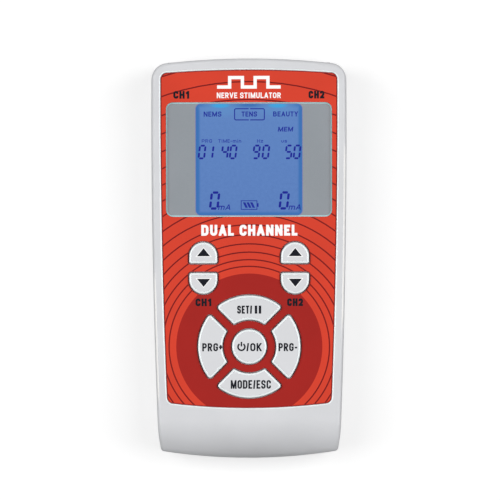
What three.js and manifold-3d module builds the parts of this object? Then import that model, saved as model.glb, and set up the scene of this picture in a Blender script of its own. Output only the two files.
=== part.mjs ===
// A two-channel TENS unit: a hand-held nerve stimulator with a backlit display and nine keys.
//
// Millimetres. The unit lies on its back: +Z out of the front face, +Y towards the lead sockets,
// +X to the right as the face is read. The origin is the centre of the back face.
import * as THREE from "three";
import { mergeVertices } from "three/addons/utils/BufferGeometryUtils.js";
import Module from "manifold-3d";

const wasm = await Module();
wasm.setup();

// ---------------------------------------------------------------- driving dimensions

const LENGTH = 140;
const WIDTH = 68.5;
const FACE_Z = 29; // the front face around the label
const KEY_TOP_Z = 30; // the key tops, the highest part of the unit
const PARTING_Z = 15; // where the two shells meet
const SEAM_GAP = 0.3;
const WALL = 2.2;
const CLEAR = 0.3; // running clearance around anything that moves
const TOUCH = 0.1; // gap between two pieces that rest on each other
const PAST = 1; // how far a cutter runs past the face that it cuts

// Plan outline of the case: arcs that run into one another, so each side bows a little.
const CASE = {
  halfWidth: WIDTH / 2,
  top: LENGTH / 2,
  bottom: -LENGTH / 2,
  widestY: 48,
  sideRadius: 2700,
  topRadius: 262,
  bottomRadius: 195,
  topCorner: 6,
  bottomCorner: 1.4,
  shoulderY: -58,
  shoulderRadius: 54,
};

// Plan outline of the printed label.
const LABEL = {
  halfWidth: 30.8,
  top: 65.8,
  bottom: -52.2,
  widestY: 56,
  sideRadius: 2600,
  topRadius: 400,
  bottomRadius: 228,
  topCorner: 2.2,
  bottomCorner: 2.2,
  shoulderY: -44,
  shoulderRadius: 2600,
};

const FACE_EDGE = 1.1; // edge radius of the front face
const FACE_DRAFT = 0.25;
const BACK_EDGE = 4; // edge radius of the back face
const BACK_DRAFT = 0.4;
const ROLL_START_Y = -56; // below here the face rolls down to the bottom end
const ROLL_RADIUS = 14.3;

const RECESS_Z = 28.3; // floor of the label's recess
const RECESS_CLEAR = 0.15; // between the label's edge and the recess
const LABEL_TOP_Z = 28.75;
const LABEL_THICKNESS = 0.4;
const LABEL_KEY_CLEAR = 0.35; // between a key and its hole in the label
const CEILING_Z = FACE_Z - WALL;

// The rear shell's lip stands inside a rabbet in the front shell's rim.
const RABBET = { inset: 1.1, top: PARTING_Z + 1.4 };
const LIP = { outerInset: 1.35, innerInset: WALL - 0.1, depth: 2, top: PARTING_Z + 1.1 };

const LENS = { width: 57.8, height: 39.8, y: 34.5, corner: 2.3, ledgeZ: 27.5, thickness: 1 };
const MASK = { lift: 0.05, thickness: 0.15 };
const DISPLAY = { width: 37.1, height: 38.8, corner: 1.7 }; // what shows of the display
const DISPLAY_OPENING = { width: 42, height: 39 }; // in the front shell, around the panel

// The five keys of the ring, about one centre, and the two pairs of channel keys.
const RING = { y: -30.8, outer: 17.9, inner: 9.35, gap: 3.3, outerCorner: 1, innerCorner: 0.6 };
const POWER_RADIUS = 6.05;
const CHANNEL = { x: 16, y: -3.4, radius: 4.92, height: 7.35, gap: 3.3, corner: 0.7 };
const KEY_EDGE = 0.35;
const KEY_TRAVEL = 1;
const KEY_BEVEL = 0.3; // where the edge's two flats meet, as a share of KEY_EDGE
const KEY_FLANGE = { grow: 0.6, bottomZ: 25.2, topZ: 26.5 }; // keeps the key under the shell

const BOARD_TOP_Z = 22.6;
const BOARD_THICKNESS = 1.6;
const BOARD_BOTTOM_Z = BOARD_TOP_Z - BOARD_THICKNESS;
const BOARD = { halfWidth: 24.5, bottom: -58, top: 64 };
const PILL = { radius: 1.75, thickness: 0.5, gap: 0.05 };
const PILL_BOTTOM_Z = BOARD_TOP_Z + KEY_TRAVEL + TOUCH;
const KEY_BOTTOM_Z = PILL_BOTTOM_Z + PILL.thickness + PILL.gap;
const MAT = { halfWidth: 22.6, bottom: -51.5, top: 7.6, thickness: 1.3, corner: 3, clear: 0.6 };

const SOCKET = { x: 23.5, outer: 5.2, recess: 4.2, bore: 1.8, faceY: 68.6, depth: 12.6 };
const SOCKET_RECESS_DEPTH = 6;
const SOCKET_END_WALL = 1.2; // behind the contact's bore
const SOCKET_FOOT = 4; // half the width of the foot that stands on the board
const CHARGE = { halfWidth: 4.6, halfHeight: 5.4, blockY: 67, backY: 54, bore: 3.1, pin: 1 };
const CHARGE_NOSE = { radius: 4, y: 69.2, root: 1 }; // the round nose that fills the hole in the case
const CHARGE_BORE_DEPTH = 9;
const CHARGE_PIN = { root: 0.5, setback: 1 }; // below the bore's floor, and behind the nose

const CASE_SCREWS = [
  [-28.4, 48],
  [28.4, 48],
  [-27.6, -46],
  [27.6, -46],
];
const BOARD_SCREWS = [
  [-12, 61.2],
  [12, 61.2],
  [-20, -54.5],
  [20, -54.5],
];
const CASE_SCREW = { head: 2.2, headHeight: 1.7, shank: 1.05, length: 16, z: 1.4 };
const BOARD_SCREW = { head: 1.8, headHeight: 1.3, shank: 0.8, length: 4.6 };
const CROSS_RECESS = { reach: 0.55, halfWidth: 0.2, depth: 0.8 }; // reach is a share of the head
const CASE_BOSS = { radius: 2.4, endZ: 12.3, pilot: 1.15, pilotDepth: 10 };
const BOARD_BOSS = { radius: 2, pilot: 0.9, pilotDepth: 3.2 };
const REAR_HOLLOW_INSET = WALL + 0.2; // the sides lean in towards the back
const REAR_BOSS = { radius: 3.6, foot: 1, passage: 1.5, well: 2.6, wellTop: 3.2 };
const BOSS_ROOT = 0.5; // how far a boss runs into the ceiling
const SKIN_INSET = 1.5; // keeps inner walls inside the outer skin

const CELL = { radius: 5.2, length: 44.5, pitch: 10.6, y: -40.2, z: 8.2 };
const CELL_COUNT = 4;
const BAY = { halfWidth: 23.4, bottom: -64.4, top: -14, roofZ: 14.2, wall: 1.5, roof: 1.2 };
const BAY_FLOOR_Z = WALL - 0.2; // below the door's groove, so that the bay opens to the door
const BAY_EXIT = { halfWidth: 4, z0: 7, z1: 11.5 }; // the battery lead's way out
const DOOR = { halfWidth: 22, top: -12, thickness: 2, lipY: -66.4, lipZ: 5 };
const DOOR_FLANGE = { halfWidth: 23.1, z: 1.1 };
const DOOR_LATCH = { halfWidth: 7, reach: 1.6, root: 1 };
const DOOR_GROOVE = { z0: DOOR_FLANGE.z - 0.25, z1: WALL + 0.1 }; // what the flange slides in
const GRIP = { count: 6, y: -21, pitch: 2.2, width: 1.1, depth: 0.45, halfWidth: 10, taper: 0.5 };

const MIRROR = [-1, 1];
const LEAST_CORNER = 0.6; // of an outline that is moved inwards

// ---------------------------------------------------------------- plan outlines

// Points on an arc, from angle a0 to angle a1 in radians, without the last one.
function arc(cx, cy, radius, a0, a1, steps) {
  const points = [];
  for (let i = 0; i < steps; i++) {
    const a = a0 + ((a1 - a0) * i) / steps;
    points.push(new THREE.Vector2(cx + radius * Math.cos(a), cy + radius * Math.sin(a)));
  }
  return points;
}

// Where the circles (c1, r1) and (c2, r2) cross, on the right of the line from c1 to c2.
function crossing(c1, r1, c2, r2) {
  const between = c2.clone().sub(c1);
  const d = between.length();
  const along = (r1 * r1 - r2 * r2 + d * d) / (2 * d);
  const across = Math.sqrt(r1 * r1 - along * along);
  between.normalize();
  const right = new THREE.Vector2(between.y, -between.x);
  return c1.clone().addScaledVector(between, along).addScaledVector(right, across);
}

const angleFrom = (c, p) => Math.atan2(p.y - c.y, p.x - c.x);

// The outline of a spec such as CASE, moved inwards by inset, anticlockwise from the bottom middle.
function bowedOutline(spec, inset, detail = 1) {
  const side = new THREE.Vector2(spec.halfWidth - spec.sideRadius, spec.widestY);
  const top = new THREE.Vector2(0, spec.top - spec.topRadius);
  const bottom = new THREE.Vector2(0, spec.bottom + spec.bottomRadius);
  const turn = Math.asin((spec.shoulderY - spec.widestY) / spec.sideRadius);
  const offset = spec.sideRadius - spec.shoulderRadius;
  const shoulder = new THREE.Vector2(
    side.x + offset * Math.cos(turn),
    side.y + offset * Math.sin(turn),
  );
  const topCorner = Math.max(spec.topCorner - inset, LEAST_CORNER);
  const bottomCorner = Math.max(spec.bottomCorner - inset, LEAST_CORNER);
  const sideR = spec.sideRadius - inset;
  const shoulderR = spec.shoulderRadius - inset;
  const topR = spec.topRadius - inset;
  const bottomR = spec.bottomRadius - inset;
  const low = crossing(shoulder, shoulderR - bottomCorner, bottom, bottomR - bottomCorner);
  const high = crossing(top, topR - topCorner, side, sideR - topCorner);
  const lowStart = angleFrom(bottom, low);
  const lowEnd = angleFrom(shoulder, low);
  const highStart = angleFrom(side, high);
  const highEnd = angleFrom(top, high);
  const n = (steps) => Math.round(steps * detail);
  const right = [
    ...arc(bottom.x, bottom.y, bottomR, -Math.PI / 2, lowStart, n(5)),
    ...arc(low.x, low.y, bottomCorner, lowStart, lowEnd, n(3)),
    ...arc(shoulder.x, shoulder.y, shoulderR, lowEnd, turn, n(3)),
    ...arc(side.x, side.y, sideR, turn, highStart, n(5)),
    ...arc(high.x, high.y, topCorner, highStart, highEnd, n(5)),
    ...arc(top.x, top.y, topR, highEnd, Math.PI / 2, n(5)),
    new THREE.Vector2(0, spec.top - inset),
  ];
  const left = right.slice(1, -1).map((p) => new THREE.Vector2(-p.x, p.y));
  return [...right, ...left.reverse()];
}

// A rectangle with round corners, centred on (cx, cy).
function roundRectangle(width, height, corner, cx = 0, cy = 0, steps = 4) {
  const x = width / 2 - corner;
  const y = height / 2 - corner;
  const quarter = Math.PI / 2;
  return [
    ...arc(cx + x, cy - y, corner, -quarter, 0, steps),
    new THREE.Vector2(cx + x + corner, cy - y),
    ...arc(cx + x, cy + y, corner, 0, quarter, steps),
    new THREE.Vector2(cx + x, cy + y + corner),
    ...arc(cx - x, cy + y, corner, quarter, 2 * quarter, steps),
    new THREE.Vector2(cx - x - corner, cy + y),
    ...arc(cx - x, cy - y, corner, 2 * quarter, 3 * quarter, steps),
    new THREE.Vector2(cx - x, cy - y - corner),
  ];
}

const circle = (cx, cy, radius, steps) => arc(cx, cy, radius, 0, 2 * Math.PI, steps);

// One of the ring's four outer keys, grown by a margin, and turned by a quarter turn k times.
function sectorOutline(grow, k) {
  const outer = RING.outer + grow;
  const inner = RING.inner - grow;
  const half = RING.gap / 2 - grow;
  const ro = RING.outerCorner + grow;
  const ri = RING.innerCorner + grow;
  const diagonal = Math.PI / 4;
  // Corner centres, measured from the slanting gap's middle line.
  const farTurn = Math.asin((half + ro) / (outer - ro));
  const nearTurn = Math.asin((half + ri) / (inner + ri));
  const far = (outer - ro) * Math.cos(farTurn);
  const near = (inner + ri) * Math.cos(nearTurn);
  const at = (along, across, side) => {
    const a = diagonal + side * Math.PI * 0.5;
    const u = new THREE.Vector2(Math.cos(a), Math.sin(a));
    const inward = side ? -1 : 1;
    return new THREE.Vector2(
      u.x * along - u.y * across * inward,
      u.y * along + u.x * across * inward,
    );
  };
  const farRight = at(far, half + ro, 0);
  const farLeft = at(far, half + ro, 1);
  const nearRight = at(near, half + ri, 0);
  const nearLeft = at(near, half + ri, 1);
  const quarter = Math.PI / 2;
  const points = [
    ...arc(farRight.x, farRight.y, ro, -diagonal, diagonal + farTurn, 4),
    ...arc(0, 0, outer, diagonal + farTurn, 3 * diagonal - farTurn, 8),
    ...arc(farLeft.x, farLeft.y, ro, 3 * diagonal - farTurn, 5 * diagonal, 4),
    at(far, half, 1),
    ...arc(nearLeft.x, nearLeft.y, ri, 5 * diagonal, 7 * diagonal - nearTurn, 3),
    ...arc(0, 0, inner, 3 * diagonal - nearTurn, diagonal + nearTurn, 5),
    ...arc(nearRight.x, nearRight.y, ri, 5 * diagonal + nearTurn, 7 * diagonal, 3),
    at(near, half, 0),
  ];
  const centre = new THREE.Vector2();
  return points.map((p) => p.rotateAround(centre, k * quarter).add(new THREE.Vector2(0, RING.y)));
}

// A channel key: round on one end, straight on the other. up is 1 or -1.
function channelOutline(grow, x, up) {
  const r = CHANNEL.radius + grow;
  const corner = CHANNEL.corner + grow;
  const straightY = CHANNEL.gap / 2 - grow;
  const centreY = CHANNEL.gap / 2 + CHANNEL.height - CHANNEL.radius;
  const half = Math.PI / 2;
  const points = [
    ...arc(0, centreY, r, 0, Math.PI, 12),
    new THREE.Vector2(-r, centreY),
    ...arc(corner - r, straightY + corner, corner, 2 * half, 3 * half, 3),
    new THREE.Vector2(corner - r, straightY),
    ...arc(r - corner, straightY + corner, corner, 3 * half, 4 * half, 3),
    new THREE.Vector2(r, straightY + corner),
  ];
  const placed = points.map((p) => new THREE.Vector2(p.x + x, CHANNEL.y + up * p.y));
  return up > 0 ? placed : placed.reverse();
}

// Every key: its name, its outline with a margin, and where its contact pill sits.
const KEYS = [
  ...[
    ["key_set", 0],
    ["key_program_up", 1],
    ["key_mode", 2],
    ["key_program_down", 3],
  ].map(([name, k]) => {
    const reach = (RING.outer + RING.inner) / 2;
    const a = Math.PI / 2 + (k * Math.PI) / 2;
    return {
      name,
      outline: (grow) => sectorOutline(grow, k),
      pill: [reach * Math.cos(a), RING.y + reach * Math.sin(a)],
    };
  }),
  {
    name: "key_power",
    outline: (grow) => circle(0, RING.y, POWER_RADIUS + grow, 28),
    pill: [0, RING.y],
  },
  ...[
    ["key_ch1_up", -1, 1],
    ["key_ch1_down", -1, -1],
    ["key_ch2_up", 1, 1],
    ["key_ch2_down", 1, -1],
  ].map(([name, sideways, up]) => ({
    name,
    outline: (grow) => channelOutline(grow, sideways * CHANNEL.x, up),
    pill: [sideways * CHANNEL.x, CHANNEL.y + up * (CHANNEL.gap + CHANNEL.height) * 0.5],
  })),
];

// ---------------------------------------------------------------- solids

// A closed mesh with its normals and uvs dropped and its shared vertices merged.
function closed(geometry) {
  const g = geometry.index ? geometry.toNonIndexed() : geometry.clone();
  g.deleteAttribute("normal");
  g.deleteAttribute("uv");
  return mergeVertices(g, 1e-4);
}

function solid(geometry) {
  const g = closed(geometry);
  return new wasm.Manifold(
    new wasm.Mesh({
      numProp: 3,
      vertProperties: g.attributes.position.array,
      triVerts: new Uint32Array(g.index.array),
    }),
  );
}

function geometryOf(made) {
  const m = made.getMesh();
  const g = new THREE.BufferGeometry();
  g.setAttribute("position", new THREE.BufferAttribute(m.vertProperties, 3));
  g.setIndex(new THREE.BufferAttribute(m.triVerts, 1));
  return g;
}

const cut = (from, ...tools) => tools.reduce((a, b) => a.subtract(b), from);
const join = (first, ...rest) => rest.reduce((a, b) => a.add(b), first);

// A closed skin through rings of equal length, each ring an array of Vector3, capped at both ends.
function loft(rings) {
  const count = rings[0].length;
  const positions = rings.flat().flatMap((p) => [p.x, p.y, p.z]);
  const index = [];
  for (let r = 0; r + 1 < rings.length; r++)
    for (let i = 0; i < count; i++) {
      const a = r * count + i;
      const b = r * count + ((i + 1) % count);
      index.push(a, b, b + count, a, b + count, a + count);
    }
  const flat = (ring) => ring.map((p) => new THREE.Vector2(p.x, p.y));
  const last = (rings.length - 1) * count;
  for (const [a, b, c] of THREE.ShapeUtils.triangulateShape(flat(rings[0]), []))
    index.push(c, b, a);
  for (const [a, b, c] of THREE.ShapeUtils.triangulateShape(flat(rings.at(-1)), []))
    index.push(last + a, last + b, last + c);
  const g = new THREE.BufferGeometry();
  g.setAttribute("position", new THREE.Float32BufferAttribute(positions, 3));
  g.setIndex(index);
  return g;
}

const atZ = (outline, z) => outline.map((p) => new THREE.Vector3(p.x, p.y, z));

// A straight prism between two heights, with holes if any are given.
function prism(outline, z0, z1, holes = []) {
  const shape = new THREE.Shape(outline);
  for (const hole of holes) shape.holes.push(new THREE.Path(hole));
  const g = new THREE.ExtrudeGeometry(shape, { depth: z1 - z0, bevelEnabled: false });
  return g.translate(0, 0, z0);
}

function box(x0, x1, y0, y1, z0, z1) {
  const g = new THREE.BoxGeometry(x1 - x0, y1 - y0, z1 - z0);
  return g.translate((x0 + x1) / 2, (y0 + y1) / 2, (z0 + z1) / 2);
}

const upright = (x, y, radius, z0, z1, steps = 16) => prism(circle(x, y, radius, steps), z0, z1);

// A cylinder along Y.
function lying(x, z, radius, y0, y1, steps = 20) {
  const g = new THREE.CylinderGeometry(radius, radius, y1 - y0, steps);
  return g.translate(x, (y0 + y1) / 2, z);
}

// ---------------------------------------------------------------- the case's outer skins

const LABEL_RIM = 0.6; // the face's last ring lies this far outside the label

// Height of the front face at y: flat, then rolling down to the bottom end.
function faceHeight(y) {
  const run = Math.max(ROLL_START_Y - y, 0);
  return FACE_Z - ROLL_RADIUS + Math.sqrt(ROLL_RADIUS ** 2 - run ** 2);
}

// Carries a point drawn under a flat face to under the rolled one.
function rolled(p, z) {
  const share = (faceHeight(p.y) - PARTING_Z) / (FACE_Z - PARTING_Z);
  return new THREE.Vector3(p.x, p.y, PARTING_Z + (z - PARTING_Z) * share);
}

function frontSkin() {
  const rings = [
    [0, PARTING_Z + SEAM_GAP / 2],
    [FACE_DRAFT, FACE_Z - FACE_EDGE],
  ];
  for (const a of [1, 2, 3].map((i) => (i * Math.PI) / 6))
    rings.push([
      FACE_DRAFT + FACE_EDGE * (1 - Math.cos(a)),
      FACE_Z - FACE_EDGE * (1 - Math.sin(a)),
    ]);
  const skin = rings.map(([inset, z]) => bowedOutline(CASE, inset).map((p) => rolled(p, z)));
  // Across the face to the label, so that the roll at the bottom end is followed.
  const outer = bowedOutline(CASE, FACE_DRAFT + FACE_EDGE);
  const inner = bowedOutline(LABEL, -LABEL_RIM);
  for (const share of [0.04, 0.1, 0.18, 0.28, 0.4, 0.55, 0.75, 1])
    skin.push(outer.map((p, i) => rolled(p.clone().lerp(inner[i], share), FACE_Z)));
  return loft(skin);
}

// How far the back's edge has come in at height z.
function backInset(z) {
  const climb = Math.max(BACK_EDGE - z, 0) / BACK_EDGE;
  const draft = (BACK_DRAFT * (PARTING_Z - Math.max(z, BACK_EDGE))) / (PARTING_Z - BACK_EDGE);
  return draft + BACK_EDGE * (1 - Math.sqrt(1 - climb ** 2));
}

function rearSkin() {
  const heights = [0, 1, 2, 3, 4].map((i) => BACK_EDGE * (1 - Math.cos((i * Math.PI) / 8)));
  heights.push(PARTING_Z - SEAM_GAP / 2);
  return loft(heights.map((z) => atZ(bowedOutline(CASE, backInset(z)), z)));
}

// The hollow of the front shell: the plan outline, under a roof that follows the rolled face.
function frontHollow() {
  const roof = [];
  for (let i = 0; i <= 5; i++) {
    const y = ROLL_START_Y - (LENGTH / 2 - WALL + ROLL_START_Y) * (i / 5);
    roof.push(new THREE.Vector2(y, faceHeight(y) - WALL));
  }
  const profile = [
    new THREE.Vector2(LENGTH, CEILING_Z),
    ...roof,
    new THREE.Vector2(-LENGTH, roof.at(-1).y),
    new THREE.Vector2(-LENGTH, 0),
    new THREE.Vector2(LENGTH, 0),
  ];
  const side = prism(profile, -WIDTH, WIDTH);
  // The profile's own axes (x, y, z) become (y, z, x).
  const turn = new THREE.Matrix4().makeBasis(
    new THREE.Vector3(0, 1, 0),
    new THREE.Vector3(0, 0, 1),
    new THREE.Vector3(1, 0, 0),
  );
  const plan = prism(bowedOutline(CASE, WALL), 0, FACE_Z);
  return solid(plan).intersect(solid(side.applyMatrix4(turn)));
}

// ---------------------------------------------------------------- shells, label and window

// Holes through the top end wall for the two lead sockets and the charging socket.
function endHoles() {
  const reach = [LENGTH / 2 - 4 * WALL, LENGTH / 2 + WALL];
  return [
    ...MIRROR.map((s) => solid(lying(s * SOCKET.x, PARTING_Z, SOCKET.outer + CLEAR, ...reach))),
    solid(lying(0, PARTING_Z, CHARGE_NOSE.radius + CLEAR, ...reach)),
  ];
}

function frontShell() {
  const { width, height } = DISPLAY_OPENING;
  const display = roundRectangle(width, height, DISPLAY.corner, 0, LENS.y);
  const lensPocket = roundRectangle(
    LENS.width + CLEAR,
    LENS.height + CLEAR,
    LENS.corner,
    0,
    LENS.y,
  );
  const roots = CEILING_Z + BOSS_ROOT;
  const caseBosses = CASE_SCREWS.map(([x, y]) =>
    solid(upright(x, y, CASE_BOSS.radius, CASE_BOSS.endZ, roots)),
  );
  const boardBosses = BOARD_SCREWS.map(([x, y]) =>
    solid(upright(x, y, BOARD_BOSS.radius, BOARD_TOP_Z + TOUCH, roots, 12)),
  );
  const hollow = cut(
    solid(frontSkin()),
    frontHollow(),
    solid(prism(bowedOutline(CASE, RABBET.inset), 0, RABBET.top)),
    solid(prism(bowedOutline(LABEL, -RECESS_CLEAR), RECESS_Z, FACE_Z + PAST)),
    solid(prism(lensPocket, LENS.ledgeZ, FACE_Z)),
    solid(prism(display, 0, FACE_Z)),
    ...KEYS.map((key) => solid(prism(key.outline(CLEAR), 0, FACE_Z))),
  );
  const casePilotEnd = CASE_BOSS.endZ + CASE_BOSS.pilotDepth;
  const boardPilotEnd = BOARD_TOP_Z + BOARD_BOSS.pilotDepth;
  return cut(
    join(hollow, ...caseBosses, ...boardBosses),
    ...CASE_SCREWS.map(([x, y]) => solid(upright(x, y, CASE_BOSS.pilot, 0, casePilotEnd, 10))),
    ...BOARD_SCREWS.map(([x, y]) => solid(upright(x, y, BOARD_BOSS.pilot, 0, boardPilotEnd, 8))),
    ...endHoles(),
  );
}

// The bay for the battery pack: a box on the inside of the back, open downwards to the door.
function bayWalls() {
  const x = BAY.halfWidth + BAY.wall;
  const y0 = BAY.bottom - BAY.wall;
  const y1 = BAY.top + BAY.wall;
  const outside = box(-x, x, y0, y1, WALL / 2, BAY.roofZ + BAY.roof);
  const inSkin = prism(bowedOutline(CASE, SKIN_INSET), 0, PARTING_Z + WALL);
  return solid(outside).intersect(solid(inSkin));
}

// The door's opening in the back, its two grooves, and the room for its end lip and its latch.
function doorCuts() {
  const half = DOOR.halfWidth + CLEAR;
  const latchHalf = DOOR_LATCH.halfWidth + CLEAR;
  const latchEnd = DOOR.top + DOOR_LATCH.reach + CLEAR;
  const top = DOOR.top + CLEAR;
  const end = -LENGTH;
  const { z0, z1 } = DOOR_GROOVE;
  return [
    box(-half, half, end, top, -PAST, z1),
    box(-BAY.halfWidth, BAY.halfWidth, end, top, z0, z1),
    box(-half, half, end, DOOR.lipY + CLEAR, -PAST, DOOR.lipZ + CLEAR),
    box(-latchHalf, latchHalf, DOOR.top, latchEnd, z0, z1),
  ].map(solid);
}

function rearShell() {
  const rim = PARTING_Z - SEAM_GAP / 2;
  const lipHole = bowedOutline(CASE, LIP.innerInset);
  const lip = solid(prism(bowedOutline(CASE, LIP.outerInset), rim - LIP.depth, LIP.top, [lipHole]));
  const inSkin = solid(prism(bowedOutline(CASE, SKIN_INSET), 0, PARTING_Z));
  const bosses = CASE_SCREWS.map(([x, y]) => {
    const boss = upright(x, y, REAR_BOSS.radius, REAR_BOSS.foot, CASE_BOSS.endZ - CLEAR);
    return solid(boss).intersect(inSkin);
  });
  const hollow = solid(prism(bowedOutline(CASE, REAR_HOLLOW_INSET), WALL, LENGTH));
  const walled = join(cut(solid(rearSkin()), hollow), lip, bayWalls(), ...bosses);
  const exitEnd = BAY.top + BAY.wall + PAST;
  return cut(
    walled,
    solid(box(-BAY.halfWidth, BAY.halfWidth, BAY.bottom, BAY.top, BAY_FLOOR_Z, BAY.roofZ)),
    solid(box(-BAY_EXIT.halfWidth, BAY_EXIT.halfWidth, BAY.top - PAST, exitEnd, BAY_EXIT.z0, BAY_EXIT.z1)),
    ...doorCuts(),
    ...CASE_SCREWS.map(([x, y]) => solid(upright(x, y, REAR_BOSS.well, -PAST, REAR_BOSS.wellTop))),
    ...CASE_SCREWS.map(([x, y]) => solid(upright(x, y, REAR_BOSS.passage, 0, PARTING_Z, 10))),
    ...endHoles(),
  );
}

function batteryDoor() {
  const { halfWidth, top, thickness, lipY, lipZ } = DOOR;
  const flangeHalf = DOOR_FLANGE.halfWidth;
  const latchHalf = DOOR_LATCH.halfWidth;
  const latchY = [top - DOOR_LATCH.root, top + DOOR_LATCH.reach];
  const plate = box(-halfWidth, halfWidth, -LENGTH, top, -PAST, thickness);
  const endLip = box(-halfWidth, halfWidth, -LENGTH, lipY, -PAST, lipZ);
  const flange = box(-flangeHalf, flangeHalf, lipY, top, DOOR_FLANGE.z, thickness);
  const latch = box(-latchHalf, latchHalf, ...latchY, DOOR_FLANGE.z, thickness);
  const outside = join(solid(plate), solid(endLip)).intersect(solid(rearSkin()));
  // Finger grooves across the door, each a little shorter than the one before.
  const grooves = [];
  for (let i = 0; i < GRIP.count; i++) {
    const half = GRIP.halfWidth - GRIP.taper * i;
    const y = GRIP.y - GRIP.pitch * i;
    grooves.push(solid(box(-half, half, y - GRIP.width / 2, y + GRIP.width / 2, -PAST, GRIP.depth)));
  }
  return cut(join(outside, solid(flange), solid(latch)), ...grooves);
}

function frontLabel() {
  const z0 = LABEL_TOP_Z - LABEL_THICKNESS;
  const window = roundRectangle(
    LENS.width + 2 * TOUCH,
    LENS.height + 2 * TOUCH,
    LENS.corner + TOUCH,
    0,
    LENS.y,
  );
  const holes = [window, ...KEYS.map((key) => key.outline(LABEL_KEY_CLEAR))];
  return prism(bowedOutline(LABEL, 0), z0, LABEL_TOP_Z, holes);
}

function screenLens() {
  const outline = roundRectangle(LENS.width, LENS.height, LENS.corner, 0, LENS.y);
  return prism(outline, LABEL_TOP_Z - LENS.thickness, LABEL_TOP_Z);
}

function screenMask() {
  const outline = roundRectangle(LENS.width, LENS.height, LENS.corner, 0, LENS.y);
  const window = roundRectangle(DISPLAY.width, DISPLAY.height, DISPLAY.corner, 0, LENS.y);
  const z = LENS.ledgeZ + MASK.lift;
  return prism(outline, z, z + MASK.thickness, [window]);
}

// ---------------------------------------------------------------- keys

function keyCap(outline) {
  const { grow, bottomZ, topZ } = KEY_FLANGE;
  const bevel = KEY_BEVEL * KEY_EDGE;
  return loft([
    atZ(outline(0), KEY_BOTTOM_Z),
    atZ(outline(0), bottomZ),
    atZ(outline(grow), bottomZ),
    atZ(outline(grow), topZ),
    atZ(outline(0), topZ),
    atZ(outline(0), KEY_TOP_Z - KEY_EDGE),
    atZ(outline(-bevel), KEY_TOP_Z - bevel),
    atZ(outline(-KEY_EDGE), KEY_TOP_Z),
  ]);
}

const contactPill = ([x, y]) =>
  upright(x, y, PILL.radius, PILL_BOTTOM_Z, PILL_BOTTOM_Z + PILL.thickness, 10);

function keypadMat() {
  const z0 = BOARD_TOP_Z + TOUCH;
  const width = 2 * MAT.halfWidth;
  const height = MAT.top - MAT.bottom;
  const outline = roundRectangle(width, height, MAT.corner, 0, (MAT.top + MAT.bottom) / 2, 2);
  const holes = KEYS.map((key) => key.outline(MAT.clear));
  return prism(outline, z0, z0 + MAT.thickness, holes);
}

// ---------------------------------------------------------------- display

const PANEL = { halfWidth: 20, bottom: 13.6, top: 55.6, z0: 25.1, z1: 26.7 };
const GUIDE = { halfWidth: 19.8, bottom: 16.2, top: 55.4, z0: BOARD_TOP_Z + TOUCH, z1: 25 };
const LED = { x: 10, halfWidth: 1.6, length: 1, z0: 23, z1: 24.6 };
const ZEBRA = { halfWidth: 18, bottom: PANEL.bottom + 0.2, top: GUIDE.bottom - CLEAR };
const HOLDER = { width: 43.8, height: 45.6, corner: 1.5, y: 35, top: 25.9 };
const HOLDER_HOLE = { width: 40.5, height: 43.6, corner: 0.4 };

const lcdPanel = () =>
  box(-PANEL.halfWidth, PANEL.halfWidth, PANEL.bottom, PANEL.top, PANEL.z0, PANEL.z1);

const backlightGuide = () =>
  box(-GUIDE.halfWidth, GUIDE.halfWidth, GUIDE.bottom, GUIDE.top, GUIDE.z0, GUIDE.z1);

// A light-emitting diode that shines into the guide's top edge.
function backlightLed(x) {
  const y = GUIDE.top + TOUCH;
  return box(x - LED.halfWidth, x + LED.halfWidth, y, y + LED.length, LED.z0, LED.z1);
}

const zebraStrip = () =>
  box(-ZEBRA.halfWidth, ZEBRA.halfWidth, ZEBRA.bottom, ZEBRA.top, GUIDE.z0, GUIDE.z1);

function lcdHolder() {
  const outer = roundRectangle(HOLDER.width, HOLDER.height, HOLDER.corner, 0, HOLDER.y, 2);
  const { width, height, corner } = HOLDER_HOLE;
  const inner = roundRectangle(width, height, corner, 0, HOLDER.y, 1);
  return prism(outer, BOARD_TOP_Z + TOUCH, HOLDER.top, [inner]);
}

// ---------------------------------------------------------------- electronics

const BOARD_CORNER = 2;
const BOARD_HOLE = 1.2;
const UNDERSIDE_Z = BOARD_BOTTOM_Z - TOUCH; // where the parts under the board hang from
const MICROCONTROLLER = { y: 2, width: 12, depth: 1.5 };
const STORAGE_CAPACITOR = { y: 42, radius: 4, depth: 11 };
const FILTER_CAPACITOR = { y: 31, radius: 3.15, depth: 9 };
const BUZZER = { y: 18, radius: 6, depth: 5 };
const TRANSFORMER = {
  x: 14,
  y: 32,
  depth: 11,
  winding: [11, 12],
  flange: [15, 14],
  flangeDepth: 2,
};

function mainBoard() {
  const middle = (BOARD.top + BOARD.bottom) / 2;
  const length = BOARD.top - BOARD.bottom;
  const outline = roundRectangle(2 * BOARD.halfWidth, length, BOARD_CORNER, 0, middle, 2);
  const holes = BOARD_SCREWS.map(([x, y]) => circle(x, y, BOARD_HOLE, 10));
  return prism(outline, BOARD_BOTTOM_Z, BOARD_TOP_Z, holes);
}

// A box that hangs under the board, from a depth to a depth, and a can in the middle of it.
const underBoard = (x, y, w, h, depth, from = 0) =>
  box(x - w / 2, x + w / 2, y - h / 2, y + h / 2, UNDERSIDE_Z - depth, UNDERSIDE_Z - from);
const canUnderBoard = ({ y, radius, depth }) =>
  upright(0, y, radius, UNDERSIDE_Z - depth, UNDERSIDE_Z);

function microcontroller() {
  const { y, width, depth } = MICROCONTROLLER;
  return underBoard(0, y, width, width, depth);
}

// A pulse transformer: a wound bobbin between the two flanges of its core.
function transformer(x, y) {
  const { depth, flangeDepth, winding, flange } = TRANSFORMER;
  return join(
    solid(underBoard(x, y, ...winding, depth)),
    solid(underBoard(x, y, ...flange, flangeDepth)),
    solid(underBoard(x, y, ...flange, depth, depth - flangeDepth)),
  );
}

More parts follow.
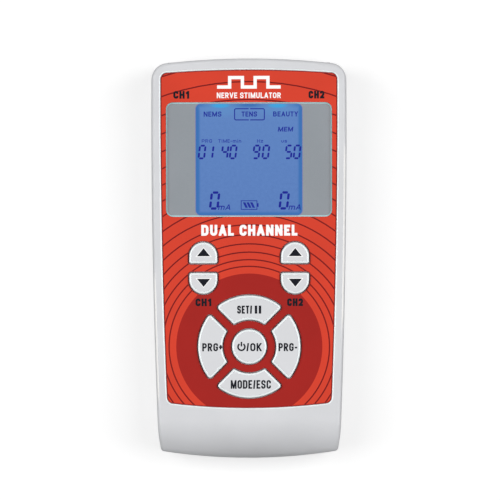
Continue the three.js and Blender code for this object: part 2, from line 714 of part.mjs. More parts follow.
// A lead socket: a deep round recess, with the contact's bore in its floor.
function outputJack(x) {
  const back = SOCKET.faceY - SOCKET.depth;
  const floorY = SOCKET.faceY - SOCKET_RECESS_DEPTH;
  const body = solid(lying(x, PARTING_Z, SOCKET.outer, back, SOCKET.faceY));
  const foot = box(x - SOCKET_FOOT, x + SOCKET_FOOT, back, floorY, PARTING_Z, UNDERSIDE_Z);
  return cut(
    join(body, solid(foot)),
    solid(lying(x, PARTING_Z, SOCKET.recess, floorY, LENGTH)),
    solid(lying(x, PARTING_Z, SOCKET.bore, back + SOCKET_END_WALL, LENGTH, 12)),
  );
}

// The charging socket: a block with a round nose and bore, and its contact pin in the middle.
function chargeSocket() {
  const z = PARTING_Z;
  const { halfWidth: w, halfHeight: h, blockY, backY } = CHARGE;
  const floorY = CHARGE_NOSE.y - CHARGE_BORE_DEPTH;
  const pinY = [floorY - CHARGE_PIN.root, CHARGE_NOSE.y - CHARGE_PIN.setback];
  const block = solid(box(-w, w, backY, blockY, z - h, UNDERSIDE_Z));
  const nose = solid(lying(0, z, CHARGE_NOSE.radius, blockY - CHARGE_NOSE.root, CHARGE_NOSE.y));
  const bore = solid(lying(0, z, CHARGE.bore, floorY, LENGTH));
  const pin = solid(lying(0, z, CHARGE.pin, ...pinY, 10));
  return join(cut(join(block, nose), bore), pin);
}

// ---------------------------------------------------------------- battery pack

const CELL_RIM = 0.4; // the rolled rim at both ends of a cell's can
const CELL_NIPPLE = { radius: 1.9, height: 0.8 };
const WRAP = { clear: 0.08, thickness: 0.22, over: 1 };
const HEADER = { y: -6, width: 7, length: 4, depth: 3.2 };
const PLUG = { halfWidth: 3, halfLength: 1.8, depth: 4 };
const LEAD = { x: 1.6, radius: 0.6, z: 9, plugZ: 11.4, start: 0.7 }; // start is off the pack's end

function batteryCell(i) {
  const x = (i - (CELL_COUNT - 1) / 2) * CELL.pitch;
  const r = CELL.radius;
  const shoulder = CELL.length - CELL_NIPPLE.height;
  const profile = [
    [0, 0],
    [r - CELL_RIM, 0],
    [r, CELL_RIM],
    [r, shoulder - CELL_RIM],
    [r - CELL_RIM, shoulder],
    [CELL_NIPPLE.radius, shoulder],
    [CELL_NIPPLE.radius, CELL.length],
    [0, CELL.length],
  ].map(([radius, height]) => new THREE.Vector2(radius, height - CELL.length / 2));
  const g = new THREE.LatheGeometry(profile, 16);
  // Cells stand head to tail, because they are wired in series.
  if (i % 2 === 0) g.rotateX(Math.PI);
  return g.translate(x, CELL.y, CELL.z);
}

// The shrink sleeve around the four cells, open at both ends.
function batteryWrap() {
  const span = (CELL_COUNT - 1) * CELL.pitch;
  const length = CELL.length + WRAP.over;
  const stadium = (r) => roundRectangle(span + 2 * r, 2 * r, r - 0.01, 0, CELL.z, 4);
  const inner = stadium(CELL.radius + WRAP.clear);
  const sleeve = prism(stadium(CELL.radius + WRAP.clear + WRAP.thickness), 0, length, [inner]);
  sleeve.rotateX(Math.PI / 2);
  return sleeve.translate(0, CELL.y + length / 2, 0);
}

const batteryHeader = () => underBoard(0, HEADER.y, HEADER.width, HEADER.length, HEADER.depth);

function batteryPlug() {
  const top = UNDERSIDE_Z - TOUCH - HEADER.depth;
  const { halfWidth: w, halfLength: h, depth } = PLUG;
  return box(-w, w, HEADER.y - h, HEADER.y + h, top - depth, top);
}

// One conductor, from the pack's end, through the bay's wall and up to its plug.
function batteryLead(side) {
  const x = side * LEAD.x;
  const packEnd = CELL.y + CELL.length / 2 + LEAD.start;
  const plugBottom = UNDERSIDE_Z - 2 * TOUCH - HEADER.depth - PLUG.depth;
  const route = [
    [x, packEnd, LEAD.z],
    [x, packEnd + 1.5, LEAD.z],
    [x, packEnd + 4, LEAD.z + 0.2],
    [x, packEnd + 8, LEAD.z],
    [x, HEADER.y - 0.7, LEAD.z + 1],
    [x, HEADER.y, LEAD.plugZ],
    [x, HEADER.y, plugBottom],
  ].map((p) => new THREE.Vector3(...p));
  const section = new THREE.Shape(circle(0, 0, LEAD.radius, 8));
  return new THREE.ExtrudeGeometry(section, {
    steps: 12,
    extrudePath: new THREE.CatmullRomCurve3(route),
    bevelEnabled: false,
  });
}

// ---------------------------------------------------------------- screws

// A pan-head screw that points up from z, with a cross recess in its head.
function screw(x, y, z, { head, headHeight, shank, length }) {
  const { reach, halfWidth, depth } = CROSS_RECESS;
  const arm = reach * head;
  const slot = (w, h) => solid(box(x - w, x + w, y - h, y + h, z - PAST, z + depth));
  const body = join(
    solid(upright(x, y, head, z, z + headHeight, 14)),
    solid(upright(x, y, shank, z, z + headHeight + length, 8)),
  );
  return cut(body, slot(arm, halfWidth), slot(halfWidth, arm));
}

// ---------------------------------------------------------------- the assembly

const unit = new THREE.Group();

function add(name, shape, { colour, roughness = 0.5, metalness = 0 }) {
  const geometry = shape instanceof THREE.BufferGeometry ? closed(shape) : geometryOf(shape);
  geometry.computeVertexNormals();
  const [r, g, b] = colour.map((c) => c / 255);
  const color = new THREE.Color().setRGB(r, g, b, THREE.SRGBColorSpace);
  const material = new THREE.MeshStandardMaterial({ color, roughness, metalness });
  const mesh = new THREE.Mesh(geometry, material);
  mesh.name = name;
  unit.add(mesh);
}

const CASE_PLASTIC = { colour: [216, 217, 220], roughness: 0.45 };
const WHITE_PLASTIC = { colour: [236, 235, 228] };
const BLACK_PLASTIC = { colour: [28, 28, 30], roughness: 0.4 };
const CLEAR_PLASTIC = { colour: [225, 232, 236], roughness: 0.05 };
const LABEL_PRINT = { colour: [217, 70, 51], roughness: 0.4 };
const MASK_PRINT = { colour: [149, 155, 160] };
const DISPLAY_GLASS = { colour: [92, 128, 190], roughness: 0.2 };
const LIGHT_GUIDE = { colour: [220, 235, 250], roughness: 0.2 };
const LAMP = { colour: [240, 230, 160], roughness: 0.4 };
const BLACK_RUBBER = { colour: [28, 28, 30], roughness: 0.9 };
const GREY_SILICONE = { colour: [190, 192, 194], roughness: 0.8 };
const PINK_SILICONE = { colour: [230, 200, 200], roughness: 0.8 };
const BOARD_LAMINATE = { colour: [34, 92, 60], roughness: 0.4 };
const WINDING = { colour: [196, 150, 60] };
const CAPACITOR_SLEEVE = { colour: [40, 44, 90], roughness: 0.4 };
const CELL_CAN = { colour: [178, 180, 184], roughness: 0.3, metalness: 0.9 };
const GREEN_SLEEVE = { colour: [46, 120, 84], roughness: 0.35 };
const RED_WIRE = { colour: [190, 30, 30] };
const BLACK_WIRE = { colour: [28, 28, 30] };
const STEEL = { colour: [178, 180, 184], roughness: 0.3, metalness: 1 };

add("front_shell", frontShell(), CASE_PLASTIC);
add("rear_shell", rearShell(), CASE_PLASTIC);
add("battery_door", batteryDoor(), CASE_PLASTIC);
add("front_label", frontLabel(), LABEL_PRINT);
add("screen_lens", screenLens(), CLEAR_PLASTIC);
add("screen_mask", screenMask(), MASK_PRINT);

for (const key of KEYS) {
  add(key.name, keyCap(key.outline), CASE_PLASTIC);
  add(key.name.replace("key_", "pill_"), contactPill(key.pill), BLACK_RUBBER);
}
add("keypad_mat", keypadMat(), GREY_SILICONE);

add("lcd_panel", lcdPanel(), DISPLAY_GLASS);
add("backlight_guide", backlightGuide(), LIGHT_GUIDE);
add("backlight_led_left", backlightLed(-LED.x), LAMP);
add("backlight_led_right", backlightLed(LED.x), LAMP);
add("zebra_strip", zebraStrip(), PINK_SILICONE);
add("lcd_holder", lcdHolder(), WHITE_PLASTIC);

add("main_board", mainBoard(), BOARD_LAMINATE);
add("microcontroller", microcontroller(), BLACK_PLASTIC);
add("transformer_ch1", transformer(-TRANSFORMER.x, TRANSFORMER.y), WINDING);
add("transformer_ch2", transformer(TRANSFORMER.x, TRANSFORMER.y), WINDING);
add("storage_capacitor", canUnderBoard(STORAGE_CAPACITOR), CAPACITOR_SLEEVE);
add("filter_capacitor", canUnderBoard(FILTER_CAPACITOR), CAPACITOR_SLEEVE);
add("buzzer", canUnderBoard(BUZZER), BLACK_PLASTIC);
add("output_jack_ch1", outputJack(-SOCKET.x), BLACK_PLASTIC);
add("output_jack_ch2", outputJack(SOCKET.x), BLACK_PLASTIC);
add("charge_socket", chargeSocket(), BLACK_PLASTIC);

for (let i = 0; i < CELL_COUNT; i++) add(`battery_cell_${i + 1}`, batteryCell(i), CELL_CAN);
add("battery_wrap", batteryWrap(), GREEN_SLEEVE);
add("battery_header", batteryHeader(), WHITE_PLASTIC);
add("battery_plug", batteryPlug(), WHITE_PLASTIC);
add("battery_lead_positive", batteryLead(1), RED_WIRE);
add("battery_lead_negative", batteryLead(-1), BLACK_WIRE);

CASE_SCREWS.forEach(([x, y], i) =>
  add(`case_screw_${i + 1}`, screw(x, y, CASE_SCREW.z, CASE_SCREW), STEEL),
);
const boardScrewZ = UNDERSIDE_Z - BOARD_SCREW.headHeight;
BOARD_SCREWS.forEach(([x, y], i) =>
  add(`board_screw_${i + 1}`, screw(x, y, boardScrewZ, BOARD_SCREW), STEEL),
);

export default unit;
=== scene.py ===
# A two-channel TENS unit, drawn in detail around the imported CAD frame.
#
# The frame is in metres. Lengths in this file are millimetres, and new_mesh turns them into metres.
# The unit lies on its back: +Z out of the front face, +Y towards the lead sockets.
from math import asin, atan2, cos, pi, radians, sin, sqrt, tan
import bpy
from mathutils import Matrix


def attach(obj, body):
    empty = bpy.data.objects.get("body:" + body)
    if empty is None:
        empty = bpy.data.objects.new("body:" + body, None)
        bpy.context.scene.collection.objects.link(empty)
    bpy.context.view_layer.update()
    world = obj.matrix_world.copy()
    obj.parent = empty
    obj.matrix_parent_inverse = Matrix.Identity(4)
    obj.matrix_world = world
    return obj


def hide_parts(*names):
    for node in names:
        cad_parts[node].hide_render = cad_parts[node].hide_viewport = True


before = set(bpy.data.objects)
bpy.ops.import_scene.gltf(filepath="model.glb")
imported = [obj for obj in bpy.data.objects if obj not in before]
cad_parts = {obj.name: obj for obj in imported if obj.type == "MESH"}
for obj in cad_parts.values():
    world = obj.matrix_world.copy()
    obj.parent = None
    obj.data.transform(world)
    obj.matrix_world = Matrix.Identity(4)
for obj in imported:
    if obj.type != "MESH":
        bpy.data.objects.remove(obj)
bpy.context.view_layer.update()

from types import SimpleNamespace as Sizes

import bmesh
import bpy
from mathutils import Matrix, Vector
from mathutils.geometry import delaunay_2d_cdt

MM = 0.001
MIRROR = (-1, 1)

# ---------------- sizes, as in the CAD

FACE_Z = 29.0
KEY_TOP_Z = 30.0
PARTING_Z = 15.0
SEAM_GAP = 0.3
WALL = 2.2
CEILING_Z = FACE_Z - WALL

CASE = Sizes(
    half_width=34.25, top=70, bottom=-70, widest_y=48, side_radius=2700, top_radius=262,
    bottom_radius=195, top_corner=6, bottom_corner=1.4, shoulder_y=-58, shoulder_radius=54,
)
LABEL = Sizes(
    half_width=30.8, top=65.8, bottom=-52.2, widest_y=56, side_radius=2600, top_radius=400,
    bottom_radius=228, top_corner=2.2, bottom_corner=2.2, shoulder_y=-44, shoulder_radius=2600,
)
FACE_EDGE = 1.1
# Painted highlight: on these stretches of the case's rounded side edges the colour is lighter,
# standing in for a lamp's reflection.
PAINTED_HIGHLIGHT_EDGE = {"left": (-52.5, -3.5), "right": (-27, 42)}  # from and to y
PAINTED_HIGHLIGHT_EDGE_FADE = 7  # the length over which the painted highlight comes in at each end
PAINTED_HIGHLIGHT_EDGE_LEAN = (0.6, 0.96)  # the upward part of the normals on the rounded edge, which gets the painted highlight
FACE_DRAFT = 0.25
BACK_EDGE = 4.0
BACK_DRAFT = 0.4
ROLL_START_Y = -56.0
ROLL_RADIUS = 14.3

RECESS_Z = 28.3
LABEL_TOP_Z = 28.75
LABEL_THICKNESS = 0.4
LABEL_KEY_CLEAR = 0.35
RECESS_CLEAR = 0.15
RECESS_SLOPE = Sizes(width=0.4, height=0.12)
LENS = Sizes(width=57.8, height=39.8, corner=2.3, cy=34.5)
LENS_LEDGE_Z = 27.5
DISPLAY = Sizes(width=37.1, height=38.8, corner=1.7, cy=34.5)

RING = Sizes(y=-30.8, outer=17.9, inner=9.35, gap=3.3, outer_corner=1, inner_corner=0.6)
POWER_RADIUS = 6.05
CHANNEL = Sizes(x=16, y=-3.4, radius=4.92, height=7.35, gap=3.3, corner=0.7)
LEAST_CORNER = 0.15  # of a key outline that is moved inwards
KEY_BOTTOM_Z = 24.25
KEY_EDGE = 0.8
KEY_EDGE_DROP = 0.4
KEY_FLANGE = Sizes(reach=0.6, low=25.2, high=26.5)
KEY_RIM_LEAN = (0.8, 0.995)  # the upward part of the normals on a key's rounded edge, which gets the painted highlight

SOCKET_X = 23.5
END_HOLES = [(-SOCKET_X, 5.5), (SOCKET_X, 5.5), (0, 4.3)]  # x and radius
SCREW_WELLS = [(-28.4, 48), (28.4, 48), (-27.6, -46), (27.6, -46)]
BAY = Sizes(half_width=23.4, bottom=-64.4, top=-14, roof_z=14.2, wall=1.5)
DOOR = Sizes(half_width=22, top=-12, thickness=2, lip_y=-66.4, lip_z=5)
DOOR_FLANGE = Sizes(half_width=23.1, z=1.1)
DOOR_LATCH = Sizes(half_width=7, reach=1.6)
DOOR_GROOVES = Sizes(count=6, half_width=10, taper=0.5, y=-21, step=2.2)
DOOR_ARROW = [(-4.2, -37.5), (0, -41.7), (4.2, -37.5)]
DOOR_RECESS = [(1.9, -0.2), (1.1, 0.25), (0.6, 0.5)]  # widths, and the depths that they are at
REAR_LIP = Sizes(inset=1.35, root=2, rise=1.1)
REAR_INSET = 1.5  # of the walls and posts inside the back
SCREW_POST = Sizes(radius=3.6, top=12, well=2.6, well_depth=3.2)
LEAD_NOTCH = Sizes(half_width=4, low=7, high=11.5)
CLEAR = 0.3
FAR = 90.0  # beyond every side of the unit
PAST = 1.0  # how far a cutting tool runs past a face
SKIM = 0.01  # keeps two faces out of one plane


# ---------------- plan outlines

def arc(cx, cy, radius, a0, a1, steps):
    """Points on an arc, without the last one."""
    turns = (a0 + (a1 - a0) * i / steps for i in range(steps))
    return [(cx + radius * cos(a), cy + radius * sin(a)) for a in turns]


def crossing(c1, r1, c2, r2):
    """Where two circles cross, on the right of the line from the first centre to the second."""
    between = Vector(c2) - Vector(c1)
    d = between.length
    along = (r1 * r1 - r2 * r2 + d * d) / (2 * d)
    across = sqrt(r1 * r1 - along * along)
    u = between.normalized()
    return c1[0] + u.x * along + u.y * across, c1[1] + u.y * along - u.x * across


def angle_from(c, p):
    return atan2(p[1] - c[1], p[0] - c[0])


def bowed_outline(spec, inset=0.0, detail=4):
    """The outline of CASE or LABEL, moved inwards by inset, anticlockwise from the bottom middle."""
    side = (spec.half_width - spec.side_radius, spec.widest_y)
    top = (0, spec.top - spec.top_radius)
    bottom = (0, spec.bottom + spec.bottom_radius)
    turn = asin((spec.shoulder_y - spec.widest_y) / spec.side_radius)
    offset = spec.side_radius - spec.shoulder_radius
    shoulder = (side[0] + offset * cos(turn), side[1] + offset * sin(turn))
    top_corner = max(spec.top_corner - inset, 0.6)
    bottom_corner = max(spec.bottom_corner - inset, 0.6)
    side_r = spec.side_radius - inset
    shoulder_r = spec.shoulder_radius - inset
    top_r = spec.top_radius - inset
    bottom_r = spec.bottom_radius - inset
    low = crossing(shoulder, shoulder_r - bottom_corner, bottom, bottom_r - bottom_corner)
    high = crossing(top, top_r - top_corner, side, side_r - top_corner)
    low_start, low_end = angle_from(bottom, low), angle_from(shoulder, low)
    high_start, high_end = angle_from(side, high), angle_from(top, high)
    quarter = pi / 2
    right = [
        *arc(*bottom, bottom_r, -quarter, low_start, 5 * detail),
        *arc(*low, bottom_corner, low_start, low_end, 3 * detail),
        *arc(*shoulder, shoulder_r, low_end, turn, 3 * detail),
        *arc(*side, side_r, turn, high_start, 5 * detail),
        *arc(*high, top_corner, high_start, high_end, 5 * detail),
        *arc(*top, top_r, high_end, quarter, 5 * detail),
        (0, spec.top - inset),
    ]
    return right + [(-x, y) for x, y in reversed(right[1:-1])]


def round_rectangle(width, height, corner, cx=0.0, cy=0.0, steps=8):
    x, y = width / 2 - corner, height / 2 - corner
    points = []
    for k, (sx, sy) in enumerate(((1, -1), (1, 1), (-1, 1), (-1, -1))):
        start = (k - 1) * pi / 2
        points += arc(cx + sx * x, cy + sy * y, corner, start, start + pi / 2, steps)
        end = start + pi / 2
        points.append((cx + sx * x + corner * cos(end), cy + sy * y + corner * sin(end)))
    return points


def round_window(spec, grow=0.0):
    """The outline of LENS or DISPLAY, moved outwards by grow."""
    return round_rectangle(spec.width + 2 * grow, spec.height + 2 * grow, spec.corner + grow,
                           cy=spec.cy)


def circle(cx, cy, radius, steps=48):
    return arc(cx, cy, radius, 0, 2 * pi, steps)


def sector_outline(grow, k):
    """One of the ring's four outer keys, turned by k quarter turns."""
    outer, inner = RING.outer + grow, RING.inner - grow
    half = RING.gap / 2 - grow
    ro = max(RING.outer_corner + grow, LEAST_CORNER)
    ri = max(RING.inner_corner + grow, LEAST_CORNER)
    eighth = pi / 4
    far_turn = asin((half + ro) / (outer - ro))
    near_turn = asin((half + ri) / (inner + ri))
    far, near = (outer - ro) * cos(far_turn), (inner + ri) * cos(near_turn)

    def at(along, across, side):
        a = eighth * (1 + 2 * side)
        inward = -1 if side else 1
        u = Vector((cos(a), sin(a)))
        return u.x * along - u.y * across * inward, u.y * along + u.x * across * inward

    points = [
        *arc(*at(far, half + ro, 0), ro, -eighth, eighth + far_turn, 8),
        *arc(0, 0, outer, eighth + far_turn, 3 * eighth - far_turn, 28),
        *arc(*at(far, half + ro, 1), ro, 3 * eighth - far_turn, 5 * eighth, 8),
        at(far, half, 1),
        *arc(*at(near, half + ri, 1), ri, 5 * eighth, 7 * eighth - near_turn, 6),
        *arc(0, 0, inner, 3 * eighth - near_turn, eighth + near_turn, 16),
        *arc(*at(near, half + ri, 0), ri, 5 * eighth + near_turn, 7 * eighth, 6),
        at(near, half, 0),
    ]
    turn = Matrix.Rotation(k * pi / 2, 2)
    turned = (turn @ Vector(p) for p in points)
    return [(p.x, p.y + RING.y) for p in turned]


def channel_outline(grow, x, up):
    """A channel key, round on one end and straight on the other. up is 1 or -1."""
    r, corner = CHANNEL.radius + grow, max(CHANNEL.corner + grow, LEAST_CORNER)
    straight = CHANNEL.gap / 2 - grow
    centre = CHANNEL.gap / 2 + CHANNEL.height - CHANNEL.radius
    half = pi / 2
    points = [
        *arc(0, centre, r, 0, pi, 32),
        (-r, centre),
        *arc(corner - r, straight + corner, corner, 2 * half, 3 * half, 6),
        (corner - r, straight),
        *arc(r - corner, straight + corner, corner, 3 * half, 4 * half, 6),
        (r, straight + corner),
    ]
    placed = [(px + x, CHANNEL.y + up * py) for px, py in points]
    return placed if up > 0 else placed[::-1]


KEYS = {}
for k, name in enumerate(("key_set", "key_program_up", "key_mode", "key_program_down")):
    KEYS[name] = lambda grow, k=k: sector_outline(grow, k)
KEYS["key_power"] = lambda grow: circle(0, RING.y, POWER_RADIUS + grow, 64)
for side, channel in zip(MIRROR, ("ch1", "ch2")):
    for up, way in ((1, "up"), (-1, "down")):
        KEYS[f"key_{channel}_{way}"] = (
            lambda grow, side=side, up=up: channel_outline(grow, side * CHANNEL.x, up)
        )


# ---------------- meshes

def new_object(name, data):
    made = bpy.data.objects.new(name, data)
    bpy.context.scene.collection.objects.link(made)
    return made


def new_mesh(name, verts, faces):
    mesh = bpy.data.meshes.new(name)
    mesh.from_pydata([(x * MM, y * MM, z * MM) for x, y, z in verts], [], faces)
    mesh.validate()
    return new_object(name, mesh)


def at_z(outline, z):
    return [(x, y, z) for x, y in outline]


def loft(rings, name="tool"):
    """A closed solid through rings of equal length, capped at both ends."""
    count = len(rings[0])
    verts = [p for ring in rings for p in ring]
    faces = [list(reversed(range(count)))]
    for r in range(len(rings) - 1):
        for i in range(count):
            a, b = r * count + i, r * count + (i + 1) % count
            faces.append([a, b, b + count, a + count])
    last = (len(rings) - 1) * count
    faces.append([last + i for i in range(count)])
    return new_mesh(name, verts, faces)


def prism(outline, z0, z1, name="tool"):
    return loft([at_z(outline, z0), at_z(outline, z1)], name)


def box(half_width, y0, y1, z0, z1):
    w = half_width
    return prism([(-w, y0), (w, y0), (w, y1), (-w, y1)], z0, z1)


def lathe(profile, x=0.0, y=0.0, z=0.0, lying=False, steps=48, name="tool"):
    """A solid of revolution through (radius, height) points that start and end on the axis.
    It stands up on (x, y, z), or lies along +Y."""
    rings = [circle(0, 0, max(r, 1e-3), steps) for r, _ in profile]
    made = [at_z(ring, h) for ring, (_, h) in zip(rings, profile)]
    if lying:
        placed = [[(x + px, y + pz, z - py) for px, py, pz in ring] for ring in made]
    else:
        placed = [[(x + px, y + py, z + pz) for px, py, pz in ring] for ring in made]
    return loft(placed, name)


def remove(piece):
    mesh = piece.data
    bpy.data.objects.remove(piece)
    bpy.data.meshes.remove(mesh)


def baked(piece):
    """Replaces a piece's mesh with what its modifiers make of it."""
    graph = bpy.context.evaluated_depsgraph_get()
    mesh = bpy.data.meshes.new_from_object(piece.evaluated_get(graph))
    old = piece.data
    piece.modifiers.clear()
    piece.data = mesh
    mesh.name = old.name
    bpy.data.meshes.remove(old)
    return piece


def combine(piece, *tools, how="DIFFERENCE"):
    for tool in tools:
        modifier = piece.modifiers.new("combine", "BOOLEAN")
        modifier.operation = how
        modifier.solver = "MANIFOLD"
        modifier.object = tool
    baked(piece)
    for tool in tools:
        remove(tool)
    return piece


def smooth(piece, angle=30.0):
    """Smooth shading that keeps edges over the angle sharp and flat faces flat."""
    piece.data.shade_smooth()
    piece.data.set_sharp_from_angle(angle=radians(angle))
    modifier = piece.modifiers.new("normals", "WEIGHTED_NORMAL")
    modifier.keep_sharp = True
    return piece


def show(piece, body, material, replaces=()):
    """Gives a piece its material, its CAD body and the CAD nodes that it stands for."""
    if material:
        piece.data.materials.clear()
        piece.data.materials.append(material)
    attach(piece, body)
    if replaces:
        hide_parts(*replaces)
    return piece


# ---------------- materials

def linear(rgb):
    """sRGB numbers up to 255 as linear colour with alpha."""
    unit = (c / 255 for c in rgb)
    return (*(c / 12.92 if c < 0.04045 else ((c + 0.055) / 1.055) ** 2.4 for c in unit), 1.0)


class Surface:
    """A Principled material and the few nodes that its detail is made of."""

    def __init__(self, name, rgb, roughness=0.5, metallic=0.0):
        self.material = bpy.data.materials.new(name)
        self.material.use_nodes = True
        self.tree = self.material.node_tree
        self.shader = self.tree.nodes["Principled BSDF"]
        self.rgb = rgb
        self.set("Base Color", linear(rgb))
        self.set("Roughness", roughness)
        self.set("Metallic", metallic)
        self.coords = self.tree.nodes.new("ShaderNodeTexCoord").outputs["Object"]

    def set(self, socket, value):
        self.shader.inputs[socket].default_value = value

    def link(self, output, socket):
        self.tree.links.new(output, socket)

    def drive(self, socket, output):
        self.link(output, self.shader.inputs[socket])

    def axes(self):
        node = self.tree.nodes.new("ShaderNodeSeparateXYZ")
        self.link(self.coords, node.inputs["Vector"])
        return node.outputs["X"], node.outputs["Y"]

    def noise(self, scale, detail=2.0, stretch=None):
        node = self.tree.nodes.new("ShaderNodeTexNoise")
        node.inputs["Scale"].default_value = scale
        node.inputs["Detail"].default_value = detail
        coords = self.coords
        if stretch:
            mapping = self.tree.nodes.new("ShaderNodeMapping")
            mapping.inputs["Scale"].default_value = stretch
            self.link(self.coords, mapping.inputs["Vector"])
            coords = mapping.outputs["Vector"]
        self.link(coords, node.inputs["Vector"])
        return node.outputs["Fac"]

    def ranged(self, value, low, high, to_low=0.0, to_high=1.0, soft=False):
        node = self.tree.nodes.new("ShaderNodeMapRange")
        node.interpolation_type = "SMOOTHSTEP" if soft else "LINEAR"
        for socket, number in zip(("From Min", "From Max", "To Min", "To Max"),
                                  (low, high, to_low, to_high)):
            node.inputs[socket].default_value = number
        self.link(value, node.inputs["Value"])
        return node.outputs["Result"]

    def math(self, operation, a, b=None):
        node = self.tree.nodes.new("ShaderNodeMath")
        node.operation = operation
        for socket, value in zip(node.inputs, (a, b)):
            if isinstance(value, (int, float)):
                socket.default_value = value
            elif value is not None:
                self.link(value, socket)
        return node.outputs["Value"]

    def mix(self, factor, a, b):
        node = self.tree.nodes.new("ShaderNodeMix")
        node.data_type = "RGBA"
        self.link(factor, node.inputs["Factor"])
        for socket, value in ((node.inputs[6], a), (node.inputs[7], b)):
            if isinstance(value, tuple):
                socket.default_value = value
            else:
                self.link(value, socket)
        return node.outputs[2]

    def mottle(self, amount, scale=60.0):
        """Lets the colour drift by a small share, as moulded plastic does."""
        darker = tuple(c * (1 - amount) for c in self.rgb)
        spread = self.ranged(self.noise(scale, 3), 0.35, 0.65)
        self.drive("Base Color", self.mix(spread, linear(darker), linear(self.rgb)))
        return self

    def grain(self, size, depth, roughness_spread=0.0):
        """A fine moulded texture: grains of a size in mm, and a depth in mm."""
        bump = self.tree.nodes.new("ShaderNodeBump")
        bump.inputs["Distance"].default_value = depth * MM
        height = self.noise(1 / (size * MM), 3)
        self.link(height, bump.inputs["Height"])
        self.drive("Normal", bump.outputs["Normal"])
        if roughness_spread:
            base = self.shader.inputs["Roughness"].default_value
            rough = self.ranged(self.noise(0.4 / (size * MM)), 0.3, 0.7,
                                base - roughness_spread, base + roughness_spread)
            self.drive("Roughness", rough)
        return self


def plastic(name, rgb, roughness=0.45, grain=0.35, depth=0.012, mottle=0.02, gloss=0.5):
    surface = Surface(name, rgb, roughness).mottle(mottle).grain(grain, depth, 0.05)
    surface.set("Specular IOR Level", gloss)
    return surface.material


def painted_highlight_plastic(name, low, high, rgb, painted_highlight_rgb):
    """Plastic with a painted highlight, coloured lighter from one y to another, easing in at both
    ends.
    """
    surface = Surface(name, rgb, 0.3)
    _, y = surface.axes()
    start = surface.ranged(y, low * MM, (low + PAINTED_HIGHLIGHT_EDGE_FADE) * MM, soft=True)
    end = surface.ranged(y, (high - PAINTED_HIGHLIGHT_EDGE_FADE) * MM, high * MM, 1.0, 0.0, soft=True)
    painted_highlight = surface.math("MULTIPLY", start, end)
    surface.drive("Base Color", surface.mix(painted_highlight, linear(rgb), linear(painted_highlight_rgb)))
    return surface.grain(0.3, 0.002, 0.05).material


def print_ink(name, rgb, mottle=0.03):
    """Matt printing ink."""
    return plastic(name, rgb, 0.5, 0.3, 0.003, mottle, 0.12)


CASE_GREY = (214, 215, 218)
# The lighter colour of the painted highlight on the case's side edges.
PAINTED_HIGHLIGHT_WHITE = (242, 241, 239)
case_plastic = plastic("case_plastic", CASE_GREY)
painted_highlight_edges = {
    side: painted_highlight_plastic(f"painted_highlight_edge_{side}", low, high, CASE_GREY, PAINTED_HIGHLIGHT_WHITE)
    for side, (low, high) in PAINTED_HIGHLIGHT_EDGE.items()
}
key_plastic = plastic("key_plastic", (216, 217, 220), 0.5, 0.25, 0.006, 0.015)
# A painted highlight: this light colour on the slope round the label's recess and on the keys'
# rounded edges stands in for the light that they catch.
painted_highlight_rim_plastic = plastic("painted_highlight_rim", (240, 248, 249), 0.25, 0.3, 0.002, 0.01)
label_red = print_ink("label_red", (217, 64, 42))
label_dark = print_ink("label_dark", (165, 31, 25))
label_line = print_ink("label_line", (118, 14, 18))
# Painted shade: a dark line along the label's edge and round the key holes, where the recess and the
# keys cast shade.
label_painted_shade_line = print_ink("label_painted_shade_line", (150, 26, 20))
ink_black = print_ink("ink_black", (12, 16, 28))
ink_white = print_ink("ink_white", (255, 255, 255), 0.01)
mask_grey = print_ink("mask_grey", (155, 161, 167), 0.02)
# A light band along the window's edge, made lighter still as a painted highlight against the shade
# that the deep window casts there.
mask_rim_print_and_highlight = print_ink("mask_rim_print_and_highlight", (186, 236, 240), 0.02)
mask_mauve = print_ink("mask_mauve", (134, 136, 184), 0.02)
black_plastic = plastic("black_plastic", (30, 30, 32), 0.35, 0.4, 0.01, 0.15)
white_plastic = plastic("white_plastic", (235, 235, 230), 0.5, 0.4, 0.01, 0.04)
rubber_grey = plastic("rubber_grey", (190, 192, 194), 0.8, 0.6, 0.02, 0.05)
rubber_black = plastic("rubber_black", (26, 26, 28), 0.9, 0.3, 0.02, 0.2)


def clear_lens():
    surface = Surface("clear_lens", (30, 34, 40), 0.06)
    surface.set("Alpha", 0.03)
    surface.grain(0.6, 0.0004)
    return surface.material


def metal(name, rgb, roughness=0.3, brushed=(1, 1, 1)):
    surface = Surface(name, rgb, roughness, 1.0).mottle(0.08, 300)
    streaks = surface.noise(6000, 2, brushed)
    surface.drive("Roughness",
                  surface.ranged(streaks, 0.3, 0.7, roughness - 0.08, roughness + 0.12))
    return surface.material


